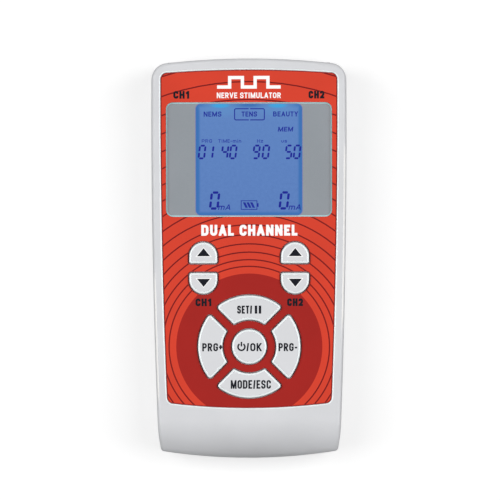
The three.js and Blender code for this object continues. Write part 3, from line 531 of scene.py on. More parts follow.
def display_glow():
    """The lit panel: blue, deeper at its edges, with two bright spots below the lamps."""
    surface = Surface("display_glow", (0, 0, 0), 0.4)
    x, y = surface.axes()
    across = surface.math("ABSOLUTE", x)
    half_width, half_height = DISPLAY.width / 2 * MM, DISPLAY.height / 2 * MM
    top = DISPLAY.cy * MM + half_height
    side = surface.ranged(across, half_width - 1.8 * MM, half_width - 0.7 * MM, soft=True)
    up = surface.math("ABSOLUTE", surface.math("SUBTRACT", y, DISPLAY.cy * MM))
    end = surface.ranged(up, half_height - 1.6 * MM, half_height - 0.4 * MM, soft=True)
    edge = surface.math("MAXIMUM", side, end)
    fade = surface.ranged(y, top - 2 * half_height, top)
    cloud = surface.ranged(surface.noise(900, 4), 0.3, 0.7, 0.0, 0.35)
    middle = surface.mix(fade, linear((93, 129, 192)), linear((98, 136, 198)))
    middle = surface.mix(cloud, middle, linear((106, 144, 206)))
    colour = surface.mix(edge, middle, linear((66, 118, 186)))
    # Below each lamp the panel is lighter, and right at the lamp it is bright.
    from_lamp = surface.math("ABSOLUTE", surface.math("SUBTRACT", across, 10 * MM))
    for reach, depth, glow in ((9, 5, (100, 147, 205)), (4.1, 1.1, (62, 172, 232))):
        dx = surface.math("DIVIDE", from_lamp, reach * MM)
        dy = surface.math("DIVIDE", surface.math("SUBTRACT", top - 0.5 * MM, y), depth * MM)
        distance = surface.math("ADD", surface.math("MULTIPLY", dx, dx),
                                surface.math("MULTIPLY", dy, dy))
        near = surface.ranged(distance, 1.0, 0.0, 0.0, 0.85, soft=True)
        colour = surface.mix(near, colour, linear(glow))
    surface.drive("Emission Color", colour)
    surface.set("Emission Strength", 1.0)
    surface.set("Specular IOR Level", 0.0)
    return surface.material


def glow(name, rgb):
    surface = Surface(name, (0, 0, 0), 0.5)
    shimmer = surface.ranged(surface.noise(1500, 2), 0.3, 0.7)
    lighter = tuple(min(255, c * 1.12) for c in rgb)
    surface.drive("Emission Color", surface.mix(shimmer, linear(rgb), linear(lighter)))
    surface.set("Emission Strength", 1.0)
    surface.set("Specular IOR Level", 0.0)
    return surface.material


# ---------------- the case

def face_height(y):
    run = max(ROLL_START_Y - y, 0.0)
    return FACE_Z - ROLL_RADIUS + sqrt(ROLL_RADIUS**2 - run**2)


def rolled(points, z):
    """Carries points drawn under a flat face to under the rolled one."""
    made = []
    for x, y in points:
        share = (face_height(y) - PARTING_Z) / (FACE_Z - PARTING_Z)
        made.append((x, y, PARTING_Z + (z - PARTING_Z) * share))
    return made


def rolled_rings(insets, roof_z):
    """Rings up the side, then across the face to just inside the label's edge."""
    rings = [rolled(bowed_outline(CASE, inset), z) for inset, z in insets]
    outer = bowed_outline(CASE, insets[-1][0])
    inner = bowed_outline(LABEL, 0.8)
    steps = 22
    for i in range(1, steps + 1):
        share = (i / steps) ** 1.5
        between = [
            (ax + (bx - ax) * share, ay + (by - ay) * share)
            for (ax, ay), (bx, by) in zip(outer, inner)
        ]
        rings.append(rolled(between, roof_z))
    return rings


def end_holes():
    """Tools for the socket holes in the top end."""
    start = LABEL.top - 6
    length = FAR - start
    return [
        lathe([(0, 0), (r, 0), (r, length), (0, length)], x, start, PARTING_Z, lying=True)
        for x, r in END_HOLES
    ]


def front_case():
    side = [(0, PARTING_Z + SEAM_GAP / 2), (FACE_DRAFT * 0.5, (PARTING_Z + FACE_Z) / 2)]
    steps = 7
    for i in range(steps + 1):
        a = i / steps * pi / 2
        side.append((
            FACE_DRAFT + FACE_EDGE * (1 - cos(a)),
            FACE_Z - FACE_EDGE * (1 - sin(a)),
        ))
    shell = loft(rolled_rings(side, FACE_Z), "front_case")
    hollow = loft(rolled_rings([(WALL, 0), (WALL, CEILING_Z)], CEILING_Z))
    slope_foot = FACE_Z - RECESS_SLOPE.height
    recess_edge = bowed_outline(LABEL, -RECESS_CLEAR)
    slope_edge = bowed_outline(LABEL, -RECESS_CLEAR - RECESS_SLOPE.width)
    recess = loft([
        at_z(recess_edge, RECESS_Z),
        at_z(recess_edge, slope_foot),
        at_z(slope_edge, FACE_Z + SKIM),
        at_z(slope_edge, FACE_Z + PAST),
    ])
    pocket = round_rectangle(LENS.width + 0.3, LENS.height + 0.3, LENS.corner,
                             cy=LENS.cy)
    opening = round_rectangle(DISPLAY.width + 4.6, LENS.height - 0.8, DISPLAY.corner,
                              cy=LENS.cy)
    combine(
        shell,
        hollow,
        recess,
        prism(pocket, LENS_LEDGE_Z, FACE_Z),
        prism(opening, PARTING_Z, FACE_Z),
        *(prism(outline(0.3), PARTING_Z, FACE_Z) for outline in KEYS.values()),
        *end_holes(),
    )
    smooth(shell)
    show(shell, "case", case_plastic, ["front_shell"])
    # Painted highlights: the slope around the recess and stretches of the rounded side edges are
    # coloured lighter, where the softboxes' reflections fall.
    for material in (painted_highlight_rim_plastic, *painted_highlight_edges.values()):
        shell.data.materials.append(material)
    for face in shell.data.polygons:
        x, y, z = face.center / MM
        side = "right" if x > 0 else "left"
        low, high = PAINTED_HIGHLIGHT_EDGE[side]
        least, most = PAINTED_HIGHLIGHT_EDGE_LEAN
        if slope_foot < z < FACE_Z and winds_round(slope_edge, x, y):
            face.material_index = 1
        elif low < y < high and z > slope_foot - FACE_EDGE and least < face.normal.z < most:
            face.material_index = 3 if side == "right" else 2


def back_inset(z):
    climb = max(BACK_EDGE - z, 0) / BACK_EDGE
    draft = BACK_DRAFT * (PARTING_Z - max(z, BACK_EDGE)) / (PARTING_Z - BACK_EDGE)
    return draft + BACK_EDGE * (1 - sqrt(1 - climb**2))


def back_skin(name="tool"):
    steps = 10
    heights = [BACK_EDGE * (1 - cos(i / steps * pi / 2)) for i in range(steps + 1)]
    heights.append(PARTING_Z - SEAM_GAP / 2)
    return loft([at_z(bowed_outline(CASE, back_inset(z)), z) for z in heights], name)


def inside_back(*pieces):
    """Keeps only what lies inside the back's outline."""
    for piece in pieces:
        combine(piece, prism(bowed_outline(CASE, REAR_INSET), 0, FAR), how="INTERSECT")
    return pieces


def rear_case():
    rim = PARTING_Z - SEAM_GAP / 2
    shell = back_skin("rear_case")
    combine(shell, prism(bowed_outline(CASE, WALL + 0.2), WALL, FAR))
    lip = prism(bowed_outline(CASE, REAR_LIP.inset), rim - REAR_LIP.root, PARTING_Z + REAR_LIP.rise)
    combine(lip, prism(bowed_outline(CASE, WALL - 0.1), 0, FAR))
    walls = box(BAY.half_width + BAY.wall, BAY.bottom - BAY.wall, BAY.top + BAY.wall,
                WALL / 2, BAY.roof_z + 1.2)
    posts = [prism(circle(x, y, SCREW_POST.radius), 1, SCREW_POST.top) for x, y in SCREW_WELLS]
    combine(shell, lip, *inside_back(walls, *posts), how="UNION")
    door_half = DOOR.half_width + CLEAR
    door_top = DOOR.top + CLEAR
    groove = (DOOR_FLANGE.z - 0.25, WALL + 0.1)
    latch_top = DOOR.top + DOOR_LATCH.reach + CLEAR
    combine(
        shell,
        box(BAY.half_width, BAY.bottom, BAY.top, WALL - 0.2, BAY.roof_z),
        box(door_half, -FAR, door_top, -PAST, groove[1]),
        box(BAY.half_width, -FAR, door_top, *groove),
        box(door_half, -FAR, DOOR.lip_y + CLEAR, -PAST, DOOR.lip_z + CLEAR),
        box(DOOR_LATCH.half_width + CLEAR, DOOR.top, latch_top, *groove),
        box(LEAD_NOTCH.half_width, BAY.top - PAST, BAY.top + BAY.wall + PAST, LEAD_NOTCH.low,
            LEAD_NOTCH.high),
        *(prism(circle(x, y, SCREW_POST.well), -PAST, SCREW_POST.well_depth)
          for x, y in SCREW_WELLS),
        *end_holes(),
    )
    smooth(shell)
    show(shell, "case", case_plastic, ["rear_shell"])


def door_recess(path):
    """A recess with sloping sides along a path on the door's outer face."""
    return loft([at_z(band(path, width), z) for width, z in DOOR_RECESS])


def battery_door():
    """The sliding door, with finger grooves, and an arrow that shows the way to slide."""
    half, top = DOOR.half_width, DOOR.top
    door = back_skin("battery_door_cover")
    plate = box(half, -FAR, top, -PAST, DOOR.thickness)
    combine(plate, box(half, -FAR, DOOR.lip_y, -PAST, DOOR.lip_z), how="UNION")
    combine(door, plate, how="INTERSECT")
    combine(
        door,
        box(DOOR_FLANGE.half_width, DOOR.lip_y, top, DOOR_FLANGE.z, DOOR.thickness),
        box(DOOR_LATCH.half_width, top - 1, top + DOOR_LATCH.reach, DOOR_FLANGE.z,
            DOOR.thickness),
        how="UNION",
    )
    paths = []
    for i in range(DOOR_GROOVES.count):
        x = DOOR_GROOVES.half_width - DOOR_GROOVES.taper * i
        y = DOOR_GROOVES.y - DOOR_GROOVES.step * i
        paths.append([(-x, y), (x, y)])
    combine(door, *(door_recess(path) for path in [*paths, DOOR_ARROW]))
    smooth(door)
    show(door, "battery_door", case_plastic, ["battery_door"])


# ---------------- flat print

def along_arc(cx, cy, radius, from_degrees, to_degrees, steps=40):
    """Points on an arc in degrees, with both its ends."""
    a0, a1 = radians(from_degrees), radians(to_degrees)
    end = (cx + radius * cos(a1), cy + radius * sin(a1))
    return [*arc(cx, cy, radius, a0, a1, steps), end]


def fillet(before, corner, after, radius, steps=5):
    """A corner turned into an arc that takes at most half of each side."""
    p = Vector(corner)
    u, v = Vector(before) - p, Vector(after) - p
    half = u.angle(v) / 2
    reach = min(radius / tan(half), u.length / 2, v.length / 2)
    u.normalize()
    v.normalize()
    centre = p + (u + v).normalized() * reach / cos(half)
    start, end = p + u * reach - centre, p + v * reach - centre
    turn = start.angle_signed(end)
    spokes = (Matrix.Rotation(-turn * i / steps, 2) @ start for i in range(steps + 1))
    return [tuple(centre + spoke) for spoke in spokes]


LEAST_STEP = 1e-3


def band(points, width):
    """A closed outline around a path, with mitred corners."""
    left, right = [], []
    path = [Vector(points[0])]
    for p in points[1:]:
        if (Vector(p) - path[-1]).length > LEAST_STEP:
            path.append(Vector(p))
    for i, p in enumerate(path):
        before = (p - path[i - 1]).normalized() if i else None
        after = (path[i + 1] - p).normalized() if i + 1 < len(path) else None
        along = ((before or after) + (after or before)).normalized()
        across = Vector((-along.y, along.x))
        straight = before or after
        lean = max(0.15, abs(across.dot(Vector((-straight.y, straight.x)))))
        left.append(p + across * width / 2 / lean)
        right.append(p - across * width / 2 / lean)
    return [tuple(p) for p in right + left[::-1]]


def winds_round(loop, x, y):
    """Whether a loop winds round a place, even where the loop crosses itself."""
    turns = 0
    for (ax, ay), (bx, by) in zip(loop, loop[1:] + loop[:1]):
        rising = ay <= y
        if rising != (by <= y):
            side = (bx - ax) * (y - ay) - (by - ay) * (x - ax)
            if rising and side > 0:
                turns += 1
            elif not rising and side < 0:
                turns -= 1
    return turns != 0


def loops_around(loops, verts, triangles):
    """For each triangle, the numbers of the loops that wind round its middle."""
    spans = []
    for loop in loops:
        xs, ys = zip(*loop)
        spans.append((min(xs), max(xs), min(ys), max(ys)))
    found = []
    for triangle in triangles:
        x, y = sum((verts[i] for i in triangle), Vector((0, 0))) / 3
        found.append([
            number for number, (loop, (x0, x1, y0, y1)) in enumerate(zip(loops, spans))
            if x0 < x < x1 and y0 < y < y1 and winds_round(loop, x, y)
        ])
    return found


def sheet(name, loops, ink_of, z0, z1):
    """A flat sheet made of the places where ink_of, given the numbers of the loops around a
    place, returns a material number."""
    points, faces = [], []
    for loop in loops:
        faces.append(list(range(len(points), len(points) + len(loop))))
        points += [Vector(p) for p in loop]
    verts, _, triangles, *_ = delaunay_2d_cdt(points, [], faces, 0, 1e-4)
    sources = loops_around(loops, verts, triangles)
    bm = bmesh.new()
    corners = [bm.verts.new((v.x * MM, v.y * MM, z1 * MM)) for v in verts]
    for triangle, inside in zip(triangles, sources):
        ink = ink_of(set(inside))
        if ink is not None:
            face = bm.faces.new([corners[i] for i in triangle])
            face.material_index = ink
    bmesh.ops.delete(bm, geom=[v for v in bm.verts if not v.link_faces], context="VERTS")
    made = bmesh.ops.extrude_face_region(bm, geom=list(bm.faces), use_keep_orig=True)
    lower = [g for g in made["geom"] if isinstance(g, bmesh.types.BMVert)]
    bmesh.ops.translate(bm, vec=(0, 0, (z0 - z1) * MM), verts=lower)
    bmesh.ops.recalc_face_normals(bm, faces=bm.faces)
    mesh = bpy.data.meshes.new(name)
    bm.to_mesh(mesh)
    bm.free()
    return new_object(name, mesh)


# A condensed block alphabet. Each sign has a width, as a share of its height, and strokes in a
# square of 1 by 1. A third number rounds that corner, as a share of the width. Strokes that run
# out of the square are cut off at it.
R = 0.5
SIGNS = {
    " ": (0.22, []),
    "A": (0.66, [[(-0.1, -0.25), (0.5, 1.05), (1.1, -0.25)], [(0.15, 0.27), (0.85, 0.27)]]),
    "B": (0.62, [[(0, 0.5), (0, 1), (0.92, 1, R), (0.92, 0.53, R), (0, 0.53)],
                 [(0, 0.53), (1, 0.53, R), (1, 0, R), (0, 0), (0, 0.6)]]),
    "C": (0.6, [[(1, 0.66), (1, 1, R), (0, 1, R), (0, 0, R), (1, 0, R), (1, 0.34)]]),
    "D": (0.62, [[(0, 0.5), (0, 0), (1, 0, R), (1, 1, R), (0, 1), (0, 0.5)]]),
    "E": (0.52, [[(1.4, 1), (0, 1), (0, 0), (1.4, 0)], [(0, 0.51), (1.1, 0.51)]]),
    "G": (0.62, [[(1, 0.7), (1, 1, R), (0, 1, R), (0, 0, R), (1, 0, R), (1, 0.47), (0.5, 0.47)]]),
    "H": (0.62, [[(0, -0.3), (0, 1.3)], [(1, -0.3), (1, 1.3)], [(0, 0.5), (1, 0.5)]]),
    "I": (0.26, [[(0.5, -0.3), (0.5, 1.3)]]),
    "K": (0.62, [[(0, -0.3), (0, 1.3)], [(1.1, 1.2), (0, 0.32)], [(0.3, 0.62), (1.1, -0.2)]]),
    "L": (0.5, [[(0, 1.3), (0, 0), (1.4, 0)]]),
    "M": (0.8, [[(0, -0.3), (0, 1.1), (0.5, 0), (1, 1.1), (1, -0.3)]]),
    "N": (0.64, [[(0, -0.3), (0, 1.1), (1, -0.1), (1, 1.3)]]),
    "O": (0.62, [[(0, 0.5), (0, 0, R), (1, 0, R), (1, 1, R), (0, 1, R), (0, 0.5)]]),
    "P": (0.6, [[(0, -0.3), (0, 1), (1, 1, R), (1, 0.44, R), (0, 0.44)]]),
    "R": (0.62, [[(0, -0.3), (0, 1), (0.95, 1, R), (0.95, 0.48, R), (0, 0.48)],
                 [(0.45, 0.5), (1.1, -0.25)]]),
    "S": (0.6, [[(1, 0.7), (1, 1, R), (0, 1, R), (0, 0.56, R), (1, 0.46, R), (1, 0, R), (0, 0, R),
                 (0, 0.3)]]),
    "T": (0.54, [[(-0.4, 1), (1.4, 1)], [(0.5, 1), (0.5, -0.3)]]),
    "U": (0.62, [[(0, 1.3), (0, 0, R), (1, 0, R), (1, 1.3)]]),
    "V": (0.64, [[(-0.1, 1.25), (0.5, -0.05), (1.1, 1.25)]]),
    "Y": (0.62, [[(-0.1, 1.25), (0.5, 0.4), (1.1, 1.25)], [(0.5, 0.5), (0.5, -0.3)]]),
    "1": (0.42, [[(1, -0.3), (1, 1.3)], [(1, 1), (-0.4, 0.72)]]),
    "2": (0.58, [[(0, 0.68), (0, 1, R), (1, 1, R), (1, 0.52, R), (0, 0), (1.4, 0)]]),
    "/": (0.34, [[(-0.05, -0.3), (1.05, 1.3)]]),
    "+": (0.46, [[(0.5, 0.16), (0.5, 0.84)], [(-0.4, 0.5), (1.4, 0.5)]]),
    "-": (0.4, [[(-0.4, 0.42), (1.4, 0.42)]]),
    "m": (0.8, [[(0, -0.3), (0, 0.7), (0.5, 0.7, 0.2), (0.5, -0.3)],
                [(0.4, 0.7), (1, 0.7, 0.2), (1, -0.3)]]),
    "i": (0.24, [[(0.5, -0.3), (0.5, 0.72)], [(0.5, 0.92), (0.5, 1.3)]]),
    "n": (0.52, [[(0, -0.3), (0, 0.7), (1, 0.7, R), (1, -0.3)]]),
    "s": (0.5, [[(1, 0.52), (1, 0.7, R), (0, 0.7, R), (0, 0.38, R), (1, 0.34, R), (1, 0, R),
                 (0, 0, R), (0, 0.18)]]),
    "u": (0.52, [[(0, 0.76), (0, 0, R), (1, 0, R), (1, 0.76)]]),
    "z": (0.5, [[(-0.4, 0.7), (1, 0.7), (0, 0), (1.4, 0)]]),
}
SIGN_GAP = 0.13
BOX_EASE = 0.01  # keeps a sign's box off its strokes' edges
PRINT_DEPTH = 0.03
PANEL_TOP_Z = 26.7  # the display panel
INK_Z = PANEL_TOP_Z + 0.1


def sign_strokes(sign, x, width, height, stroke):
    """The stroke outlines of one sign, in a box from (x, 0)."""
    left, bottom = x + stroke / 2, stroke / 2
    across, up = width - stroke, height - stroke
    outlines = []
    for points in SIGNS[sign][1]:
        placed = [(left + p[0] * across, bottom + p[1] * up) for p in points]
        path = []
        for i, p in enumerate(points):
            if len(p) == 3:
                path += fillet(placed[i - 1], placed[i], placed[i + 1], p[2] * across)
            else:
                path.append(placed[i])
        outlines.append(band(path, stroke))
    return outlines


def lettering(name, text, x, y, z, height, width, stroke, material, body, slant=0.0):
    """A printed text centred on (x, y) and fitted to a width."""
    units = sum(SIGNS[sign][0] for sign in text) + SIGN_GAP * (len(text) - 1)
    unit = width / units
    pen = -width / 2
    loops, box_of = [], {}
    for sign in text:
        sign_width = SIGNS[sign][0] * unit
        outlines = sign_strokes(sign, pen, max(sign_width, stroke), height, stroke)
        if outlines:
            box_number = len(loops)
            left, right = pen - BOX_EASE, pen + max(sign_width, stroke) + BOX_EASE
            low, high = -BOX_EASE, height + BOX_EASE
            loops.append([(left, low), (right, low), (right, high), (left, high)])
            for outline in outlines:
                box_of[len(loops)] = box_number
                loops.append(outline)
        pen += sign_width + SIGN_GAP * unit
    placed = [
        [(x + px + slant * (py - height / 2), y + py - height / 2) for px, py in loop]
        for loop in loops
    ]

    def ink_of(inside):
        return 0 if any(box_of.get(i) in inside for i in inside) else None

    return show(sheet(name, placed, ink_of, z, z + PRINT_DEPTH), body, material)


def flat_shape(name, outline, z, material, body):
    return show(prism(outline, z, z + PRINT_DEPTH, name), body, material)


def on_key(name, outline, body, ink=None, lift=0.0):
    flat_shape(name, outline, KEY_TOP_Z + lift, ink or ink_black, body)


def on_display(name, outline, ink):
    flat_shape("display_" + name, outline, INK_Z, ink, "case")


# ---------------- the label

LINE_WIDTH = 0.45
FIELD_RADIUS = 25.5  # the round dark field behind the ring of keys
RIPPLES = Sizes(count=17, first=28, step=2.2, growth=0.14)
RIPPLE_ENDS = (-70, 250)  # in degrees: every ripple is open below the label's foot


def ripples():
    """Plain arcs round the middle of the ring, spaced a little wider with each one."""
    arcs = []
    for i in range(RIPPLES.count):
        radius = RIPPLES.first + RIPPLES.step * i + RIPPLES.growth * i**2
        start, end = RIPPLE_ENDS
        arcs.append(along_arc(0, RING.y, radius, start, end, 90))
    return arcs


def label_film():
    """The printed film, with its window and key holes, and a dark line of painted shade along every
    edge.
    """
    outline = bowed_outline(LABEL)
    window = round_window(LENS, 0.1)
    groups = [
        [outline],
        [bowed_outline(LABEL, 0.3)],
        [window] + [key(LABEL_KEY_CLEAR) for key in KEYS.values()],
        [key(LABEL_KEY_CLEAR + 0.22) for key in KEYS.values()],
        [circle(0, RING.y, FIELD_RADIUS, 96)],
        [band(line, LINE_WIDTH) for line in ripples()],
    ]
    loops, group_of = [], []
    for number, group in enumerate(groups):
        loops += group
        group_of += [number] * len(group)
    base, dark, line, edge = range(4)

    def ink_of(inside):
        around = {group_of[i] for i in inside}
        if 0 not in around or 2 in around:
            return None
        # Along the label's edge and round each key hole: the dark line of painted shade.
        if 3 in around or 1 not in around:
            return edge
        if 4 in around:
            return dark
        return line if 5 in around else base

    film = sheet("label_film", loops, ink_of, LABEL_TOP_Z - LABEL_THICKNESS, LABEL_TOP_Z)
    show(film, "case", None, ["front_label"])
    for material in (label_red, label_dark, label_line, label_painted_shade_line):
        film.data.materials.append(material)


# ---------------- keys

def key_cap(name, outline):
    """A key with a soft edge, and a flange under the case that keeps it in."""
    reach, low, high = KEY_FLANGE.reach, KEY_FLANGE.low, KEY_FLANGE.high
    rings = [(0, KEY_BOTTOM_Z), (0, low), (-reach, low), (-reach, high), (0, high)]
    steps = 8
    for i in range(steps + 1):
        a = i / steps * pi / 2
        inset = KEY_EDGE * (1 - cos(a))
        rings.append((inset, KEY_TOP_Z - KEY_EDGE_DROP * (1 - sin(a))))
    cap = loft([at_z(outline(-inset), z) for inset, z in rings], name + "_cap")
    smooth(cap)
    show(cap, name, key_plastic, [name])
    # Painted highlight: the faces of the rounded edge that lean towards the lamps get the light rim
    # colour.
    cap.data.materials.append(painted_highlight_rim_plastic)
    least, most = KEY_RIM_LEAN
    for face in cap.data.polygons:
        if least < face.normal.z < most:
            face.material_index = 1


KEY_STROKE = 0.55
# name, text, x, y, height, width, key
KEY_TEXTS = [
    ("set", "SET/", -1.6, -17.9, 2.8, 5.2, "key_set"),
    ("program_up", "PRG+", -12.9, -31.0, 2.8, 7.0, "key_program_up"),
    ("program_down", "PRG-", 13.5, -31.0, 2.8, 6.6, "key_program_down"),
    ("mode", "MODE/ESC", 0.5, -44.0, 3.0, 14.0, "key_mode"),
    ("power", "/OK", 1.65, -31.0, 2.8, 5.4, "key_power"),
]
PAUSE_BARS = Sizes(xs=(2.35, 3.75), y=-17.9, width=0.85, height=2.8)
POWER_SIGN = Sizes(x=-2.75, radius=1.2, gap_degrees=70, stroke=0.56, bar=0.52, bar_length=1.6)
ARROW = Sizes(half_width=2.3, height=2.8, base={1: 4.15, -1: -3.75}, border=0.26)
PRINT_CORNER = 0.05


def key_legends():
    for name, text, x, y, height, width, key in KEY_TEXTS:
        lettering("legend_" + name, text, x, y, KEY_TOP_Z, height, width, KEY_STROKE, ink_black,
                  key)
    for i, x in enumerate(PAUSE_BARS.xs):
        bar = round_rectangle(PAUSE_BARS.width, PAUSE_BARS.height, PRINT_CORNER, x,
                              PAUSE_BARS.y, 1)
        on_key(f"legend_pause_{i + 1}", bar, "key_set")


def power_sign():
    """A ring with a gap at the top, and a bar in the gap."""
    cx, cy = POWER_SIGN.x, RING.y - 0.1
    start = 90 + POWER_SIGN.gap_degrees / 2
    arc_path = along_arc(cx, cy, POWER_SIGN.radius, start, start + 360 - POWER_SIGN.gap_degrees)
    on_key("legend_power_ring", band(arc_path, POWER_SIGN.stroke), "key_power")
    bar = round_rectangle(POWER_SIGN.bar, POWER_SIGN.bar_length, PRINT_CORNER, cx, cy + 0.95, 1)
    on_key("legend_power_bar", bar, "key_power")


def channel_arrows():
    """A black arrow on a slightly larger white one, on each channel key."""
    for side, channel in zip(MIRROR, ("ch1", "ch2")):
        x = side * CHANNEL.x + 0.1
        for up, way in ((1, "up"), (-1, "down")):
            base = CHANNEL.y + ARROW.base[up]
            for name, grow, lift, ink in (("arrow_base", ARROW.border, 0.0, ink_white),
                                          ("arrow", 0.0, PRINT_DEPTH, ink_black)):
                wide = ARROW.half_width + 2.2 * grow
                high = ARROW.height + 1.3 * grow
                outline = [(x - wide, base - up * grow), (x + wide, base - up * grow),
                           (x, base + up * high)]
                on_key(f"{name}_{channel}_{way}", outline[::up], f"key_{channel}_{way}", ink, lift)


CHANNEL_LEGENDS = {"top": (23.6, 57.1), "low": (16.0, -15.35)}
PULSES = Sizes(low=59.8, high=63.1, step=4.45, start=-6.7, end=11.1, stroke=1.15)


def on_label(name, text, x, y, height, width, stroke, ink):
    lettering("legend_" + name, text, x, y, LABEL_TOP_Z, height, width, stroke, ink, "case")


def label_legends():
    for side, text in zip(MIRROR, ("CH1", "CH2")):
        for place, (x, y) in CHANNEL_LEGENDS.items():
            on_label(f"{text.lower()}_{place}", text, side * x, y, 2.65, 5.5, 0.7, ink_black)
    on_label("title", "DUAL CHANNEL", 0.1, 9.8, 3.8, 33.6, 0.94, ink_white)
    on_label("purpose", "NERVE STIMULATOR", 0, 56.9, 1.95, 22.4, 0.37, ink_white)


def pulse_sign():
    """A plain train of stimulation pulses."""
    low, high = PULSES.low, PULSES.high
    path = [(-PULSES.end, low)]
    for i in range(4):
        x = PULSES.start + PULSES.step * i
        y0, y1 = (low, high) if i % 2 == 0 else (high, low)
        path += [(x, y0), (x, y1)]
    path.append((PULSES.end, low))
    flat_shape("pulse_sign", band(path, PULSES.stroke), LABEL_TOP_Z, ink_white, "case")


# ---------------- the display

BAR_WIDTH_SHARE = 0.13  # of a figure's height
BAR_GAP_SHARE = 0.04
FIGURE_SLANT = 0.12
FIGURES = Sizes(y=34.6, width=2.6, height=5.1)
LEVELS = Sizes(y=17.0, width=3.4, height=6.4)

# The bars a to g run clockwise from the top, and g is the middle one.
FIGURE_BARS = {"0": "abcdef", "1": "bc", "4": "bcfg", "5": "acdfg", "9": "abcdfg"}


def pointed_bar(p, q, width):
    """A bar from p to q with a point at each end."""
    a, b = Vector(p), Vector(q)
    along = (b - a).normalized()
    across = Vector((-along.y, along.x)) * width / 2
    tip = along * width * 0.3
    return [tuple(v) for v in (a, a + tip - across, b - tip - across, b, b - tip + across,
                               a + tip + across)]


def figure(name, sign, x, row, material):
    """A slanted seven-bar figure whose lower left corner is at x, in a row of figures."""
    y, width, height = row.y, row.width, row.height
    bar = height * BAR_WIDTH_SHARE
    gap = height * BAR_GAP_SHARE
    left, right, low, high = bar / 2, width - bar / 2, bar / 2, height - bar / 2
    middle = height / 2
    ends = {
        "a": ((left + gap, high), (right - gap, high)),
        "b": ((right, high - gap), (right, middle + gap)),
        "c": ((right, middle - gap), (right, low + gap)),
        "d": ((left + gap, low), (right - gap, low)),
        "e": ((left, middle - gap), (left, low + gap)),
        "f": ((left, high - gap), (left, middle + gap)),
        "g": ((left + gap, middle), (right - gap, middle)),
    }
    for letter in FIGURE_BARS[sign]:
        outline = pointed_bar(*ends[letter], bar)
        placed = [(x + px + FIGURE_SLANT * py, y + py) for px, py in outline]
        on_display(f"{name}_{letter}", placed, material)


def battery_sign(cx, cy, ink):
    half_width, half_height = 2.75, 1.5
    corners = ((-1, 0), (-1, 1), (1, 1), (1, -1), (-1, -1), (-1, 0))
    rim = [(cx + sx * half_width, cy + sy * half_height) for sx, sy in corners]
    on_display("battery_rim", band(rim, 0.26), ink)
    nub = round_rectangle(0.45, 1.3, 0.1, cx + half_width + 0.35, cy, 2)
    on_display("battery_nub", nub, ink)
    for i in range(3):
        x = cx - 2.15 + 1.25 * i
        bar = [(x, cy + 0.95), (x + 0.9, cy - 0.95), (x + 1.75, cy - 0.95), (x + 0.85, cy + 0.95)]
        on_display(f"battery_bar_{i + 1}", bar, ink)


def mode_frame(cx, cy, ink):
    """The frame around the mode in use: two halves with a small gap at the top and bottom."""
    half_width, half_height, corner = 5.2, 1.95, 0.5
    for side in MIRROR:
        corners = [(cx + side * 0.25, cy + half_height), (cx + side * half_width, cy + half_height),
                   (cx + side * half_width, cy - half_height), (cx + side * 0.25, cy - half_height)]
        path = [
            corners[0], *fillet(*corners[:3], corner), *fillet(*corners[1:], corner), corners[3]
        ]
        if side > 0:
            path.reverse()
        on_display("mode_frame_" + ("right" if side > 0 else "left"), band(path, 0.34), ink)


def display():
    strong = glow("display_ink", (34, 40, 142))
    middle = glow("display_ink_lighter", (38, 50, 148))
    faint = glow("display_ink_faint", (48, 66, 158))
    panel_outline = round_rectangle(DISPLAY.width + 2, DISPLAY.height + 0.6, 1.2,
                                    cy=DISPLAY.cy)
    panel = prism(panel_outline, PANEL_TOP_Z - 1.5, PANEL_TOP_Z + 0.06, "display_panel")
    show(panel, "case", display_glow(), ["lcd_panel"])
    # name, text, x, y, height, width, stroke, ink, slant
    words = [
        ("stimulation", "NEMS", -12.7, 50.4, 1.75, 6.2, 0.34, middle, 0),
        ("nerve", "TENS", 0.15, 50.4, 1.75, 5.4, 0.34, middle, 0),
        ("care", "BEAUTY", 12.8, 50.4, 1.75, 8.7, 0.34, middle, 0),
        ("memory", "MEM", 12.8, 45.1, 1.65, 5.2, 0.34, middle, 0.15),
        ("program", "PRG", -14.7, 41.0, 1.2, 3.6, 0.22, faint, 0),
        ("time", "TIME-min", -6.7, 41.0, 1.2, 8.0, 0.22, faint, 0),
        ("frequency", "Hz", 3.9, 41.0, 1.2, 2.1, 0.22, faint, 0),
        ("pulse_width", "us", 12.3, 41.0, 1.2, 2.0, 0.22, faint, 0),
        ("current_left", "mA", -8.5, 17.9, 1.9, 4.3, 0.34, middle, 0.25),
        ("current_right", "mA", 16.1, 17.9, 1.9, 4.3, 0.34, middle, 0.25),
    ]
    for name, text, x, y, height, width, stroke, ink, slant in words:
        lettering("display_" + name, text, x, y, INK_Z, height, width, stroke, ink, "case",
                  slant)
    figures = (("0", -18.0), ("1", -15.2), ("4", -10.0), ("0", -7.1), ("9", 1.0), ("0", 4.3),
               ("5", 12.3), ("0", 15.2))
    for i, (sign, x) in enumerate(figures):
        figure(f"figure_{i + 1}", sign, x, FIGURES, strong)
    for i, x in enumerate((-14.1, 10.2)):
        figure(f"level_{i + 1}", "0", x, LEVELS, strong)
    mode_frame(0.2, 50.3, strong)
    battery_sign(0.0, 18.6, middle)


def window_mask():
    """The grey print behind the window: a light band along its edge, coloured lighter still as a
    painted highlight against the shade of the window's deep edge, and mauve along its opening.
    """
    loops = [round_window(LENS), round_window(LENS, -0.35), round_window(DISPLAY, 0.25),
             round_window(DISPLAY)]
    # A place inside n loops has ink number n - 1, and the fourth loop is the opening.
    mask = sheet("window_mask", loops, lambda inside: (0, 1, 2, None)[len(inside) - 1]
                 if inside else None, 27.55, 27.7)
    show(mask, "case", None, ["screen_mask"])
    for material in (mask_rim_print_and_highlight, mask_grey, mask_mauve):
        mask.data.materials.append(material)


# ---------------- sockets and screws

